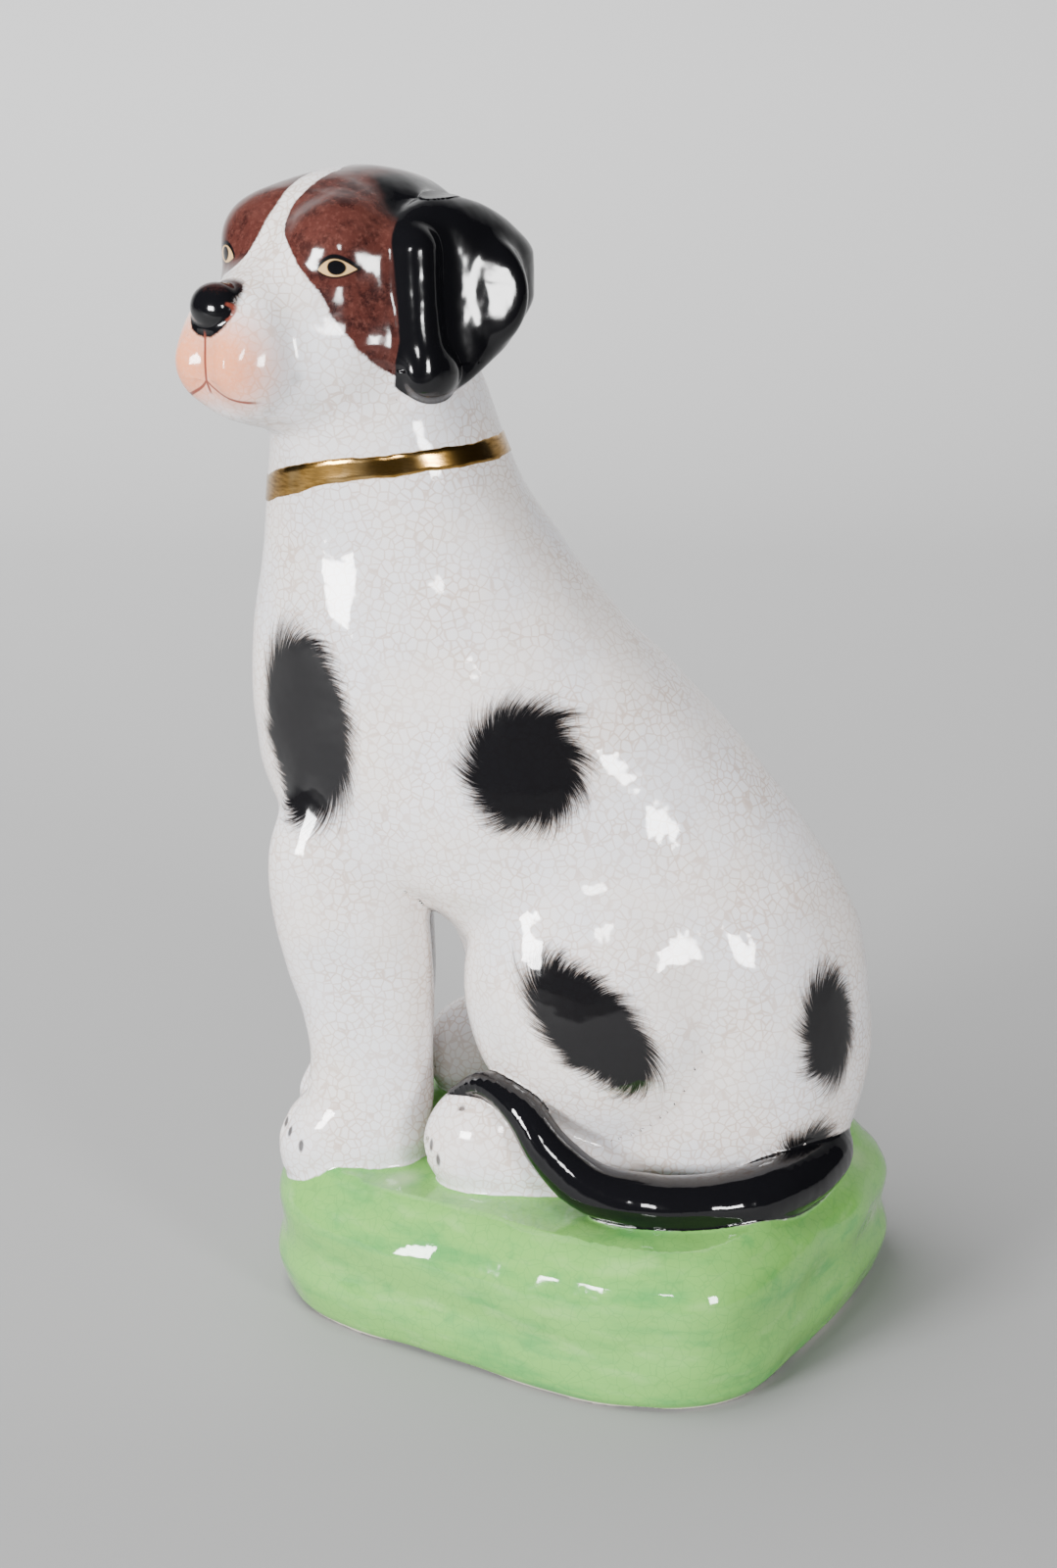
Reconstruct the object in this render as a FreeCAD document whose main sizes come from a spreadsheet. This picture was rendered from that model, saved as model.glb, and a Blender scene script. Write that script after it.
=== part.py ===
import FreeCAD, Part
import Sketcher
import math
import os
import sys

# Seated earthenware dog on a green mound, in millimetres.
# Row frame: the origin is the centre of the base's underside, +Z is up, +X runs along the base's
# long side and -Y is the front, the long side that the head looks over.
# Body frame: u is forward (towards the chest), v is the dog's own left, w is up. It shares the row
# frame's origin and is turned about Z, because the dog sits at an angle on its base.
# Head frame: u is forward along the muzzle, v is the dog's own left, w is up, origin in the skull.

document = FreeCAD.newDocument("seated_dog")
Vector = FreeCAD.Vector
Rotation = FreeCAD.Rotation
Placement = FreeCAD.Placement
UP = Vector(0, 0, 1)

# Driving sizes, with what each one measures
SIZES = [
    ("base_length", 155.0, "base along X at its widest"),
    ("base_width", 137.0, "base along Y at its widest"),
    ("base_height", 43.0, "crown of the mound above the table"),
    ("wall", 5.0, "cast wall of the base, body and head"),
    ("floor_length", 118.0, "closing slab along X"),
    ("floor_width", 100.0, "closing slab along Y"),
    ("floor_corner", 30.0, "corner radius of the closing slab"),
    ("floor_thickness", 4.0, "closing slab"),
    ("vent_diameter", 9.0, "firing vent through the closing slab"),
    ("vent_offset", 32.0, "vent from the middle of the slab along X"),
    ("body_yaw", 25.0, "turn of the dog on its base, degrees"),
    ("seat_depth", 13.0, "how far the body form starts below the crown of the mound"),
    ("body_length", 166.0, "chest to rump"),
    ("body_width", 82.0, "across the ribs"),
    ("body_height", 208.0, "start of the body form to the luting seam under the head"),
    ("leg_depth", 42.0, "fore paw front to back"),
    ("leg_width", 29.0, "fore paw across"),
    ("leg_height", 122.0, "start of the foreleg form to its end inside the chest"),
    ("leg_spread", 15.5, "median plane to the middle of a fore paw"),
    ("haunch_length", 72.0, "thigh front to back"),
    ("haunch_width", 50.0, "thigh ellipsoid across"),
    ("haunch_height", 84.0, "thigh top to bottom"),
    ("haunch_lean", 14.0, "forward lean of the thigh, degrees"),
    ("foot_length", 57.0, "hind foot heel to toe"),
    ("foot_width", 29.0, "hind foot across"),
    ("foot_height", 38.0, "hind paw ball, part of it below the ground line"),
    ("tail_diameter", 16.0, "tail at its root"),
    ("neck_depth", 57.0, "neck front to back inside the head"),
    ("head_yaw", 53.0, "turn of the head from the body, degrees"),
    ("head_length", 86.0, "back of the skull to the lips"),
    ("head_width", 59.0, "across the skull without ears"),
    ("head_height", 62.0, "skull crown to jaw line at the middle of the skull"),
    ("nose_width", 15.0, "nose across"),
    ("ear_length", 48.0, "ear front to back"),
    ("ear_height", 46.0, "ear top to bottom"),
    ("ear_thickness", 18.0, "ear form through, most of it outside the skull"),
    ("collar_width", 6.4, "gilt band along the neck"),
    ("collar_thickness", 0.6, "gilt band proud of the glaze"),
    ("collar_tilt", 13.0, "rise of the band towards the nape, degrees"),
    ("overrun", 2.0, "how far a cutting form runs past what it cuts"),
]

sheet = document.addObject("Spreadsheet::Sheet", "Sizes")
for row, (alias, value, meaning) in enumerate(SIZES, start=1):
    sheet.set("A%d" % row, meaning)
    sheet.set("B%d" % row, str(value))
    sheet.setAlias("B%d" % row, alias)
document.recompute()


def size(alias):
    return float(getattr(sheet, alias))


# Section tables. Heights are shares of the piece's height, the rest are shares named in each line.

# height, half length of base_length, half width of base_width
BASE_SHARES = [
    (0.00, 0.474, 0.479),
    (0.08, 0.490, 0.494),
    (0.24, 0.500, 0.500),
    (0.42, 0.494, 0.492),
    (0.60, 0.498, 0.492),
    (0.76, 0.490, 0.482),
    (0.86, 0.474, 0.464),
    (0.94, 0.442, 0.430),
    (0.985, 0.395, 0.380),
    (1.00, 0.340, 0.320),
]
BASE_POWER = 3.8

# height of body_height, front and back of body_length, half width of body_width
BODY_SHARES = [
    (0.000, 0.121, -0.350, 0.366),
    (0.087, 0.145, -0.444, 0.463),
    (0.173, 0.157, -0.467, 0.488),
    (0.255, 0.181, -0.466, 0.500),
    (0.351, 0.217, -0.447, 0.500),
    (0.413, 0.302, -0.413, 0.488),
    (0.452, 0.410, -0.386, 0.476),
    (0.500, 0.487, -0.347, 0.463),
    (0.558, 0.520, -0.290, 0.457),
    (0.615, 0.530, -0.232, 0.451),
    (0.683, 0.533, -0.154, 0.439),
    (0.755, 0.528, -0.060, 0.415),
    (0.817, 0.516, 0.005, 0.390),
    (0.865, 0.507, 0.050, 0.366),
    (0.913, 0.501, 0.092, 0.348),
    (0.962, 0.497, 0.122, 0.341),
    (1.000, 0.492, 0.140, 0.341),
]
BODY_POWER = 2.1
HOLLOW_START_SHARE = 0.17
NECK_START_SHARE = 0.75
NECKLINE_SHARE = 0.93

# height of leg_height, front and back of leg_depth from the paw's middle, inward shift of
# leg_width, half width of leg_width
LEG_SHARES = [
    (0.000, 0.42, -0.46, 0.00, 0.44),
    (0.060, 0.51, -0.49, 0.00, 0.50),
    (0.107, 0.51, -0.50, 0.00, 0.50),
    (0.165, 0.44, -0.50, 0.00, 0.47),
    (0.230, 0.30, -0.51, 0.00, 0.43),
    (0.300, 0.28, -0.51, 0.00, 0.42),
    (0.410, 0.32, -0.52, 0.00, 0.43),
    (0.530, 0.42, -0.52, -0.01, 0.46),
    (0.660, 0.50, -0.50, -0.03, 0.52),
    (0.790, 0.50, -0.36, -0.05, 0.50),
    (0.900, 0.40, -0.22, -0.07, 0.38),
    (1.000, 0.26, -0.10, -0.09, 0.24),
]
LEG_POWER = 2.3
LEG_REACH_SHARE = 0.370

# forward along head_length, crown and jaw of head_height, half width of head_width
HEAD_SHARES = [
    (-0.425, 0.115, -0.040, 0.10),
    (-0.395, 0.250, -0.180, 0.25),
    (-0.335, 0.365, -0.330, 0.37),
    (-0.220, 0.470, -0.450, 0.46),
    (-0.050, 0.515, -0.500, 0.50),
    (0.090, 0.490, -0.510, 0.50),
    (0.190, 0.430, -0.510, 0.47),
    (0.270, 0.310, -0.500, 0.41),
    (0.335, 0.205, -0.485, 0.34),
    (0.405, 0.140, -0.465, 0.28),
    (0.480, 0.095, -0.430, 0.25),
    (0.535, 0.030, -0.360, 0.20),
    (0.570, -0.070, -0.260, 0.12),
]
HEAD_POWER = 2.15
HEAD_PLACE_SHARES = (0.3645, -0.006, 1.154)

# height of ear_height, middle and half of ear_length, middle of ear_thickness past the skull's
# side, half of ear_thickness
EAR_SHARES = [
    (0.50, -0.16, 0.12, -0.30, 0.12),
    (0.45, -0.18, 0.26, -0.24, 0.27),
    (0.34, -0.21, 0.40, -0.17, 0.42),
    (0.17, -0.25, 0.50, -0.12, 0.50),
    (-0.04, -0.24, 0.50, -0.08, 0.50),
    (-0.22, -0.15, 0.43, -0.02, 0.46),
    (-0.36, -0.06, 0.32, 0.06, 0.38),
    (-0.46, 0.02, 0.20, 0.08, 0.28),
    (-0.50, 0.05, 0.08, 0.08, 0.12),
]
EAR_POWER = 2.2
EAR_LIFT_SHARE = 0.03

# height above the seam of body_height, front and back of neck_depth from the neck's middle,
# half width of neck_depth
NECK_SHARES = [
    (0.000, 0.50, -0.50, 0.48),
    (0.060, 0.47, -0.43, 0.47),
    (0.110, 0.38, -0.30, 0.40),
]
NECK_REACH_SHARE = 0.316

# forward of body_length, sideways of body_width, height above the base crown of foot_height,
# radius of tail_diameter
TAIL_SHARES = [
    (-0.350, -0.04, 0.18, 0.46),
    (-0.392, 0.12, 0.10, 0.50),
    (-0.376, 0.28, 0.05, 0.50),
    (-0.318, 0.45, 0.04, 0.48),
    (-0.229, 0.570, 0.04, 0.46),
    (-0.133, 0.615, 0.06, 0.44),
    (-0.040, 0.605, 0.14, 0.42),
    (0.030, 0.570, 0.37, 0.39),
    (0.080, 0.515, 0.64, 0.33),
    (0.139, 0.435, 0.73, 0.24),
    (0.193, 0.372, 0.60, 0.11),
]

ROUND_POWER = 2
SECTION_POINTS = 14
BASE_POINTS = 28
TAIL_POINTS = 12

# Places in the body frame as shares of body_length, body_width and body_height
HAUNCH_PLACE_SHARES = (-0.036, 0.293, 0.298)
PAW_PLACE_SHARES = (0.120, 0.366, 0.096)
FAR_PAW_FORWARD_SHARE = 0.168
HEEL_BACK_SHARE = 0.36
HEEL_DROP_SHARE = 0.10
HEEL_SHARES = (0.42, 0.42, 0.34)
PAW_LENGTH_SHARE = 0.74

# Places in the head frame as shares of head_length, head_width and head_height. Radii of the nose
# and lips are shares of nose_width, those of the skull's hollow of the head's three sizes.
NOSE_PLACE_SHARES = (0.520, 0.0, 0.010)
NOSE_SHARES = (0.40, 0.50, 0.42)
LIP_PLACE_SHARES = (0.445, 0.110, -0.215)
LIP_SHARES = (0.85, 0.58, 0.74)
SKULL_PLACE_SHARES = (-0.040, 0.0, 0.000)
SKULL_SHARES = (0.385, 0.500, 0.510)
NECK_BORE_SHARE = 0.47

body_turn = Placement(Vector(0, 0, 0), Rotation(UP, 180 + size("body_yaw")))
body_start = size("base_height") - size("seat_depth")
seam_height = body_start + size("body_height")


def oval(mid, half, power, count, place):
    """One closed section: a superellipse whose points place() puts in space.

    The stations along the curve come from the unit section, so that all sections of a loft share
    them and its surface stays plain.
    """
    count = int(count)
    unit, points = [], []
    for step in range(count + 1):
        angle = 2 * math.pi * step / count
        across, along = math.cos(angle), math.sin(angle)
        first = math.copysign(abs(across) ** (2 / power), across)
        second = math.copysign(abs(along) ** (2 / power), along)
        unit.append(Vector(first, second, 0))
        points.append(place(mid[0] + half[0] * first, mid[1] + half[1] * second))
    stations = [0.0]
    for before, after in zip(unit[:-1], unit[1:]):
        stations.append(stations[-1] + (after - before).Length)
    curve = Part.BSplineCurve()
    curve.interpolate(Points=points[:-1], PeriodicFlag=True, Parameters=stations)
    return Part.Wire([curve.toShape()])


def loft_feature(name, wires, placement):
    """A solid through closed sections, kept as a document object of its own."""
    feature = document.addObject("Part::Feature", name)
    feature.Shape = Part.makeLoft(wires, True)
    feature.Placement = placement
    return feature


def ellipsoid(name, radii, placement):
    """radii are three expressions over the sheet, along u, v and w."""
    form = document.addObject("Part::Ellipsoid", name)
    form.Angle1 = -90
    form.Angle2 = 90
    form.Angle3 = 360
    form.setExpression("Radius2", radii[0])
    form.setExpression("Radius3", radii[1])
    form.setExpression("Radius1", radii[2])
    form.Placement = placement
    return form


def cut(label, base, tools):
    """base minus each tool in turn. The last cut carries the sub-part's label."""
    result = base
    for step, tool in enumerate(tools, start=1):
        link = document.addObject("Part::Cut", "%s_cut_%d" % (label, step))
        link.Base = result
        link.Tool = tool
        link.Refine = False
        result = link
    result.Label = label
    return result


def fuse(name, forms):
    joined = document.addObject("Part::MultiFuse", name)
    joined.Shapes = forms
    joined.Refine = False
    return joined


# Base: a moulded mound, hollow, with the closing slab let into its underside
def base_sections(inset, bottom, top):
    wires = []
    for level, half_length, half_width in BASE_SHARES:
        height = bottom + level * (top - bottom)
        half = (half_length * size("base_length") - inset, half_width * size("base_width") - inset)
        place = lambda x, y, height=height: Vector(x, y, height)
        wires.append(oval((0, 0), half, BASE_POWER, BASE_POINTS, place))
    return wires


base_form = loft_feature("base_form", base_sections(0, 0, size("base_height")), Placement())
base_hollow = loft_feature(
    "base_hollow",
    base_sections(size("wall"), size("floor_thickness"), size("base_height") - size("wall")),
    Placement(),
)


def rounded_rectangle(sketch, length, width, radius):
    """Four corner arcs, then the four lines between them, about the sketch's origin."""
    half_x, half_y = length / 2, width / 2
    corners = [(1, 1, 0), (-1, 1, 90), (-1, -1, 180), (1, -1, 270)]
    for sign_x, sign_y, start in corners:
        centre = Vector(sign_x * (half_x - radius), sign_y * (half_y - radius), 0)
        circle = Part.Circle(centre, UP, radius)
        arc = Part.ArcOfCircle(circle, math.radians(start), math.radians(start + 90))
        sketch.addGeometry(arc, False)
    ends = [
        (Vector(half_x - radius, half_y, 0), Vector(radius - half_x, half_y, 0)),
        (Vector(-half_x, half_y - radius, 0), Vector(-half_x, radius - half_y, 0)),
        (Vector(radius - half_x, -half_y, 0), Vector(half_x - radius, -half_y, 0)),
        (Vector(half_x, radius - half_y, 0), Vector(half_x, half_y - radius, 0)),
    ]
    for first, second in ends:
        sketch.addGeometry(Part.LineSegment(first, second), False)


START, END, CENTRE = 1, 2, 3
FIRST_LINE = 4


def slab_sketch(body, name):
    sketch = body.newObject("Sketcher::SketchObject", name)
    plane = [item for item in body.Origin.OriginFeatures if item.Role == "XY_Plane"][0]
    sketch.AttachmentSupport = [(plane, "")]
    sketch.MapMode = "FlatFace"
    rounded_rectangle(sketch, size("floor_length"), size("floor_width"), size("floor_corner"))
    for corner in range(4):
        line = FIRST_LINE + corner
        following = (corner + 1) % 4
        sketch.addConstraint(Sketcher.Constraint("Tangent", corner, END, line, START))
        sketch.addConstraint(Sketcher.Constraint("Tangent", line, END, following, START))
        if corner:
            sketch.addConstraint(Sketcher.Constraint("Equal", 0, corner))
    for line, kind in ((FIRST_LINE, "Horizontal"), (FIRST_LINE + 1, "Vertical")):
        sketch.addConstraint(Sketcher.Constraint(kind, line))
    sketch.addConstraint(Sketcher.Constraint("Symmetric", 0, CENTRE, 2, CENTRE, -1, START))
    top, left = FIRST_LINE, FIRST_LINE + 1
    bottom, right = FIRST_LINE + 2, FIRST_LINE + 3
    lengths = [
        ("length", Sketcher.Constraint("DistanceX", left, START, right, END, size("floor_length"))),
        ("width", Sketcher.Constraint("DistanceY", bottom, START, top, START, size("floor_width"))),
        ("corner", Sketcher.Constraint("Radius", 0, size("floor_corner"))),
    ]
    for measure, constraint in lengths:
        index = sketch.addConstraint(constraint)
        sketch.renameConstraint(index, measure)
        sketch.setExpression("Constraints." + measure, "Sizes.floor_" + measure)
    return sketch


floor_body = document.addObject("PartDesign::Body", "base_floor")
floor_body.Label = "base_floor"
floor_pad = floor_body.newObject("PartDesign::Pad", "floor_pad")
floor_pad.Profile = slab_sketch(floor_body, "floor_outline")
floor_pad.setExpression("Length", "Sizes.floor_thickness")
document.recompute()

vent_sketch = floor_body.newObject("Sketcher::SketchObject", "vent_place")
vent_plane = [item for item in floor_body.Origin.OriginFeatures if item.Role == "XY_Plane"][0]
vent_sketch.AttachmentSupport = [(vent_plane, "")]
vent_sketch.MapMode = "FlatFace"
vent_circle = Part.Circle(Vector(size("vent_offset"), 0, 0), UP, size("vent_diameter") / 2)
vent_sketch.addGeometry(vent_circle, False)
vent_sketch.addConstraint(Sketcher.Constraint("PointOnObject", 0, CENTRE, -1))
vent_sizes = [
    ("offset", Sketcher.Constraint("DistanceX", -1, START, 0, CENTRE, size("vent_offset"))),
    ("across", Sketcher.Constraint("Diameter", 0, size("vent_diameter"))),
]
for vent_name, vent_constraint in vent_sizes:
    vent_index = vent_sketch.addConstraint(vent_constraint)
    vent_sketch.renameConstraint(vent_index, vent_name)
vent_sketch.setExpression("Constraints.offset", "Sizes.vent_offset")
vent_sketch.setExpression("Constraints.across", "Sizes.vent_diameter")
vent = floor_body.newObject("PartDesign::Pocket", "vent")
vent.Profile = vent_sketch
vent.Type = "ThroughAll"
vent.Midplane = True
floor_body.Tip = vent

floor_seat = document.addObject("Part::Extrusion", "floor_seat")
floor_seat.Base = floor_pad.Profile[0]
floor_seat.DirMode = "Custom"
floor_seat.Dir = UP
floor_seat.Solid = True
floor_seat.setExpression("LengthFwd", "Sizes.floor_thickness")

cut("base_mound", base_form, [base_hollow, floor_seat])


# Body: chest, ribs, back, rump and neck in one hollow casting
def body_sections(grow, start, stop):
    """Sections of the body form, grown outwards (or inwards), for the height shares asked for."""
    wires = []
    for level, front, back, half_width in BODY_SHARES:
        if not start <= level <= stop:
            continue
        height = body_start + level * size("body_height")
        middle = (front + back) / 2 * size("body_length")
        half = ((front - back) / 2 * size("body_length") + grow, half_width * size("body_width") + grow)
        place = lambda u, v, height=height: Vector(u, v, height)
        wires.append(oval((middle, 0), half, BODY_POWER, SECTION_POINTS, place))
    return wires


body_form = loft_feature("body_form", body_sections(0, 0, 1), body_turn)
body_hollow = loft_feature("body_hollow", body_sections(-size("wall"), HOLLOW_START_SHARE, 1), body_turn)
cut("torso", body_form, [body_hollow, base_form])


# Forelegs with their paws
def leg_sections(side):
    wires = []
    for level, front, back, inward, half_width in LEG_SHARES:
        height = body_start + level * size("leg_height")
        depth, width = size("leg_depth"), size("leg_width")
        middle_u = LEG_REACH_SHARE * size("body_length") + (front + back) / 2 * depth
        middle_v = side * (size("leg_spread") - inward * width)
        half = ((front - back) / 2 * depth, half_width * width)
        place = lambda u, v, height=height: Vector(u, v, height)
        wires.append(oval((middle_u, middle_v), half, LEG_POWER, SECTION_POINTS, place))
    return wires


SIDES = [("left", 1), ("right", -1)]
leg_forms = {}
for side_name, side in SIDES:
    leg_form = loft_feature("leg_form_" + side_name, leg_sections(side), body_turn)
    leg_forms[side_name] = leg_form
    cut("foreleg_" + side_name, leg_form, [body_form, base_form])


# Haunches and hind feet
def body_place(forward, sideways, height, rotation=Rotation()):
    """A place in the body frame, from shares, as a placement in the row frame."""
    point = Vector(
        forward * size("body_length"),
        sideways * size("body_width"),
        body_start + height * size("body_height"),
    )
    return body_turn.multiply(Placement(point, rotation))


thighs = {}
feet = {}
for side_name, side in SIDES:
    forward, sideways, height = HAUNCH_PLACE_SHARES
    lean = Rotation(Vector(0, 1, 0), size("haunch_lean"))
    thigh = ellipsoid(
        "thigh_form_" + side_name,
        ("Sizes.haunch_length / 2", "Sizes.haunch_width / 2", "Sizes.haunch_height / 2"),
        body_place(forward, side * sideways, height, lean),
    )
    thighs[side_name] = thigh
    cut("haunch_" + side_name, thigh, [body_form, base_form])
    forward, sideways, height = PAW_PLACE_SHARES
    if side < 0:
        forward = FAR_PAW_FORWARD_SHARE
    ball = ellipsoid(
        "paw_form_" + side_name,
        ("Sizes.foot_length / 2 * %g" % PAW_LENGTH_SHARE, "Sizes.foot_width / 2", "Sizes.foot_height / 2"),
        body_place(forward, side * sideways, height),
    )
    heel_forward = forward - HEEL_BACK_SHARE * size("foot_length") / size("body_length")
    heel_height = height - HEEL_DROP_SHARE * size("foot_height") / size("body_height")
    heel = ellipsoid(
        "heel_form_" + side_name,
        (
            "Sizes.foot_length * %g" % HEEL_SHARES[0],
            "Sizes.foot_width * %g" % HEEL_SHARES[1],
            "Sizes.foot_height * %g" % HEEL_SHARES[2],
        ),
        body_place(heel_forward, side * sideways, heel_height),
    )
    feet[side_name] = [ball, heel]
    foot = fuse("foot_form_" + side_name, feet[side_name])
    cut("hind_foot_" + side_name, foot, [thigh, leg_forms[side_name], body_form, base_form])


# Tail: swept round the near side and up over the hind foot
def tail_sections():
    points = []
    for forward, sideways, lift, radius in TAIL_SHARES:
        points.append(Vector(
            forward * size("body_length"),
            sideways * size("body_width"),
            size("base_height") + lift * size("foot_height"),
        ))
    wires = []
    for index, row in enumerate(TAIL_SHARES):
        along = points[min(index + 1, len(points) - 1)] - points[max(index - 1, 0)]
        across = along.cross(UP).normalize()
        upward = across.cross(along).normalize()
        radius = row[3] * size("tail_diameter")
        place = lambda s, t, middle=points[index], across=across, upward=upward: (
            middle + upward * s - across * t
        )
        wires.append(oval((0, 0), (radius, radius), ROUND_POWER, TAIL_POINTS, place))
    return wires


tail_form = loft_feature("tail_form", tail_sections(), body_turn)
cut("tail", tail_form, [body_form, thighs["left"]] + feet["left"] + [base_form])


# Head: skull, brow and muzzle in one hollow casting, with nose, lips and the top of the neck
head_place = body_place(*HEAD_PLACE_SHARES, Rotation(UP, size("head_yaw")))


def head_sections():
    wires = []
    for along, crown, jaw, half_width in HEAD_SHARES:
        forward = along * size("head_length")
        middle = (crown + jaw) / 2 * size("head_height")
        half = (half_width * size("head_width"), (crown - jaw) / 2 * size("head_height"))
        place = lambda v, w, forward=forward: Vector(forward, v, w)
        wires.append(oval((0, middle), half, HEAD_POWER, SECTION_POINTS, place))
    return wires


def neck_sections():
    wires = []
    for level, front, back, half_width in NECK_SHARES:
        height = seam_height + level * size("body_height")
        depth = size("neck_depth")
        middle = NECK_REACH_SHARE * size("body_length") + (front + back) / 2 * depth
        half = ((front - back) / 2 * depth, half_width * depth)
        place = lambda u, v, height=height: Vector(u, v, height)
        wires.append(oval((middle, 0), half, BODY_POWER, SECTION_POINTS, place))
    return wires


def head_point(forward, sideways, height):
    point = Vector(
        forward * size("head_length"),
        sideways * size("head_width"),
        height * size("head_height"),
    )
    return head_place.multiply(Placement(point, Rotation()))


def nose_sized(shares):
    return tuple("Sizes.nose_width * %g" % share for share in shares)


skull = loft_feature("skull_form", head_sections(), head_place)
neck_top = loft_feature("neck_form", neck_sections(), body_turn)
nose = ellipsoid("nose_form", nose_sized(NOSE_SHARES), head_point(*NOSE_PLACE_SHARES))
lips = []
for side_name, side in SIDES:
    forward, sideways, height = LIP_PLACE_SHARES
    place = head_point(forward, side * sideways, height)
    lips.append(ellipsoid("lip_form_" + side_name, nose_sized(LIP_SHARES), place))
head_form = fuse("head_form", [skull, neck_top, nose] + lips)
head_hollow = ellipsoid(
    "head_hollow",
    (
        "Sizes.head_length * %g - Sizes.wall" % SKULL_SHARES[0],
        "Sizes.head_width * %g - Sizes.wall" % SKULL_SHARES[1],
        "Sizes.head_height * %g - Sizes.wall" % SKULL_SHARES[2],
    ),
    head_point(*SKULL_PLACE_SHARES),
)
neck_bore = document.addObject("Part::Cylinder", "neck_bore")
neck_bore.setExpression("Radius", "Sizes.neck_depth * %g - Sizes.wall" % NECK_BORE_SHARE)
neck_bore.setExpression("Height", "Sizes.head_height / 2 + Sizes.overrun")
bore_foot = Vector(NECK_REACH_SHARE * size("body_length"), 0, seam_height - size("overrun"))
neck_bore.Placement = body_turn.multiply(Placement(bore_foot, Rotation()))
under_seam = document.addObject("Part::Box", "under_seam")
under_seam.setExpression("Length", "Sizes.body_length * 2")
under_seam.setExpression("Width", "Sizes.body_length * 2")
under_seam.setExpression("Height", "Sizes.head_height")
under_corner = Vector(-size("body_length"), -size("body_length"), seam_height - size("head_height"))
under_seam.Placement = body_turn.multiply(Placement(under_corner, Rotation()))
cut("head", head_form, [head_hollow, neck_bore, under_seam])


# Ears: drop ears pressed separately and luted to the sides of the skull
def ear_sections(side):
    wires = []
    for level, middle, half_length, out, half_out in EAR_SHARES:
        height = (level + EAR_LIFT_SHARE) * size("ear_height")
        middle_u = middle * size("ear_length")
        middle_v = side * (size("head_width") / 2 + out * size("ear_thickness"))
        half = (half_length * size("ear_length"), half_out * size("ear_thickness"))
        place = lambda u, v, height=height: Vector(u, v, height)
        wires.append(oval((middle_u, middle_v), half, EAR_POWER, SECTION_POINTS, place))
    return wires


for side_name, side in SIDES:
    ear_form = loft_feature("ear_form_" + side_name, ear_sections(side), head_place)
    cut("ear_" + side_name, ear_form, [neck_top, skull])

# Collar: a gilt band round the neck, a thin skin over the glaze between two tilted planes
grown_neck = loft_feature(
    "grown_neck",
    body_sections(size("collar_thickness"), NECK_START_SHARE, 1),
    body_turn,
)
collar_box = document.addObject("Part::Box", "collar_box")
collar_box.setExpression("Length", "Sizes.body_length")
collar_box.setExpression("Width", "Sizes.body_width * 2")
collar_box.setExpression("Height", "Sizes.collar_width")
collar_middle = Placement(
    Vector(NECK_REACH_SHARE * size("body_length"), 0, body_start + NECKLINE_SHARE * size("body_height")),
    Rotation(Vector(0, 1, 0), size("collar_tilt")),
)
collar_corner = Placement(
    Vector(-size("body_length") / 2, -size("body_width"), -size("collar_width") / 2),
    Rotation(),
)
collar_box.Placement = body_turn.multiply(collar_middle).multiply(collar_corner)
collar_ring = document.addObject("Part::Common", "collar_ring")
collar_ring.Base = grown_neck
collar_ring.Tool = collar_box
collar_ring.Refine = False
cut("collar_band", collar_ring, [body_form])

NODES = [
    "base_mound", "base_floor", "torso", "head", "ear_left", "ear_right",
    "foreleg_left", "foreleg_right", "haunch_left", "haunch_right",
    "hind_foot_left", "hind_foot_right", "tail", "collar_band",
]

document.recompute()
failed = [item.Label for item in document.Objects if {"Invalid", "Error"} & set(item.State)]
if failed:
    sys.exit("objects that failed: " + ", ".join(failed))

os.makedirs("parts", exist_ok=True)
finished = [(node, document.getObjectsByLabel(node)[0].Shape) for node in NODES]
for node, shape in finished:
    if shape.isNull() or not shape.isValid() or not shape.Solids:
        sys.exit("no valid solid in " + node)
for node, shape in finished:
    shape.exportStep("parts/%s.step" % node)
    box = shape.BoundBox
    limits = (box.XMin, box.XMax, box.YMin, box.YMax, box.ZMin, box.ZMax)
    print("%-16s solids %d volume %9.1f" % (node, len(shape.Solids), shape.Volume))
    print(" " * 16, "x %6.1f %6.1f  y %6.1f %6.1f  z %6.1f %6.1f" % limits)
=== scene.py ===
import bpy
import math
import numpy as np
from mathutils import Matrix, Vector


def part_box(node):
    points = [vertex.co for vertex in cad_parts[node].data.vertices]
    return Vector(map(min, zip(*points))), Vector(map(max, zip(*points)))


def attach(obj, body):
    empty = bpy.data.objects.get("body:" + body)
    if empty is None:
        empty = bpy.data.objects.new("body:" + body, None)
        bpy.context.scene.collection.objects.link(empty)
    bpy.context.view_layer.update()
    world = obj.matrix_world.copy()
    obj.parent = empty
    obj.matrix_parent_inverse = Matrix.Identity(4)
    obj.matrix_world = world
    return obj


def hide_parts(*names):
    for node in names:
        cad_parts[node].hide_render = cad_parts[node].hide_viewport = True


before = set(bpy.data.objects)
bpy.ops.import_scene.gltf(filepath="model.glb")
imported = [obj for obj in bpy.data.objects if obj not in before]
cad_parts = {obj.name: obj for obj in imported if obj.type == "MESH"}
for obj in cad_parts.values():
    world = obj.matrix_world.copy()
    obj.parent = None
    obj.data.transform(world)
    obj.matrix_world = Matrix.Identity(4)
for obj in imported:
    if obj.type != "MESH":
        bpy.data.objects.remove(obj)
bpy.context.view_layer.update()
MM = 0.001

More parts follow.
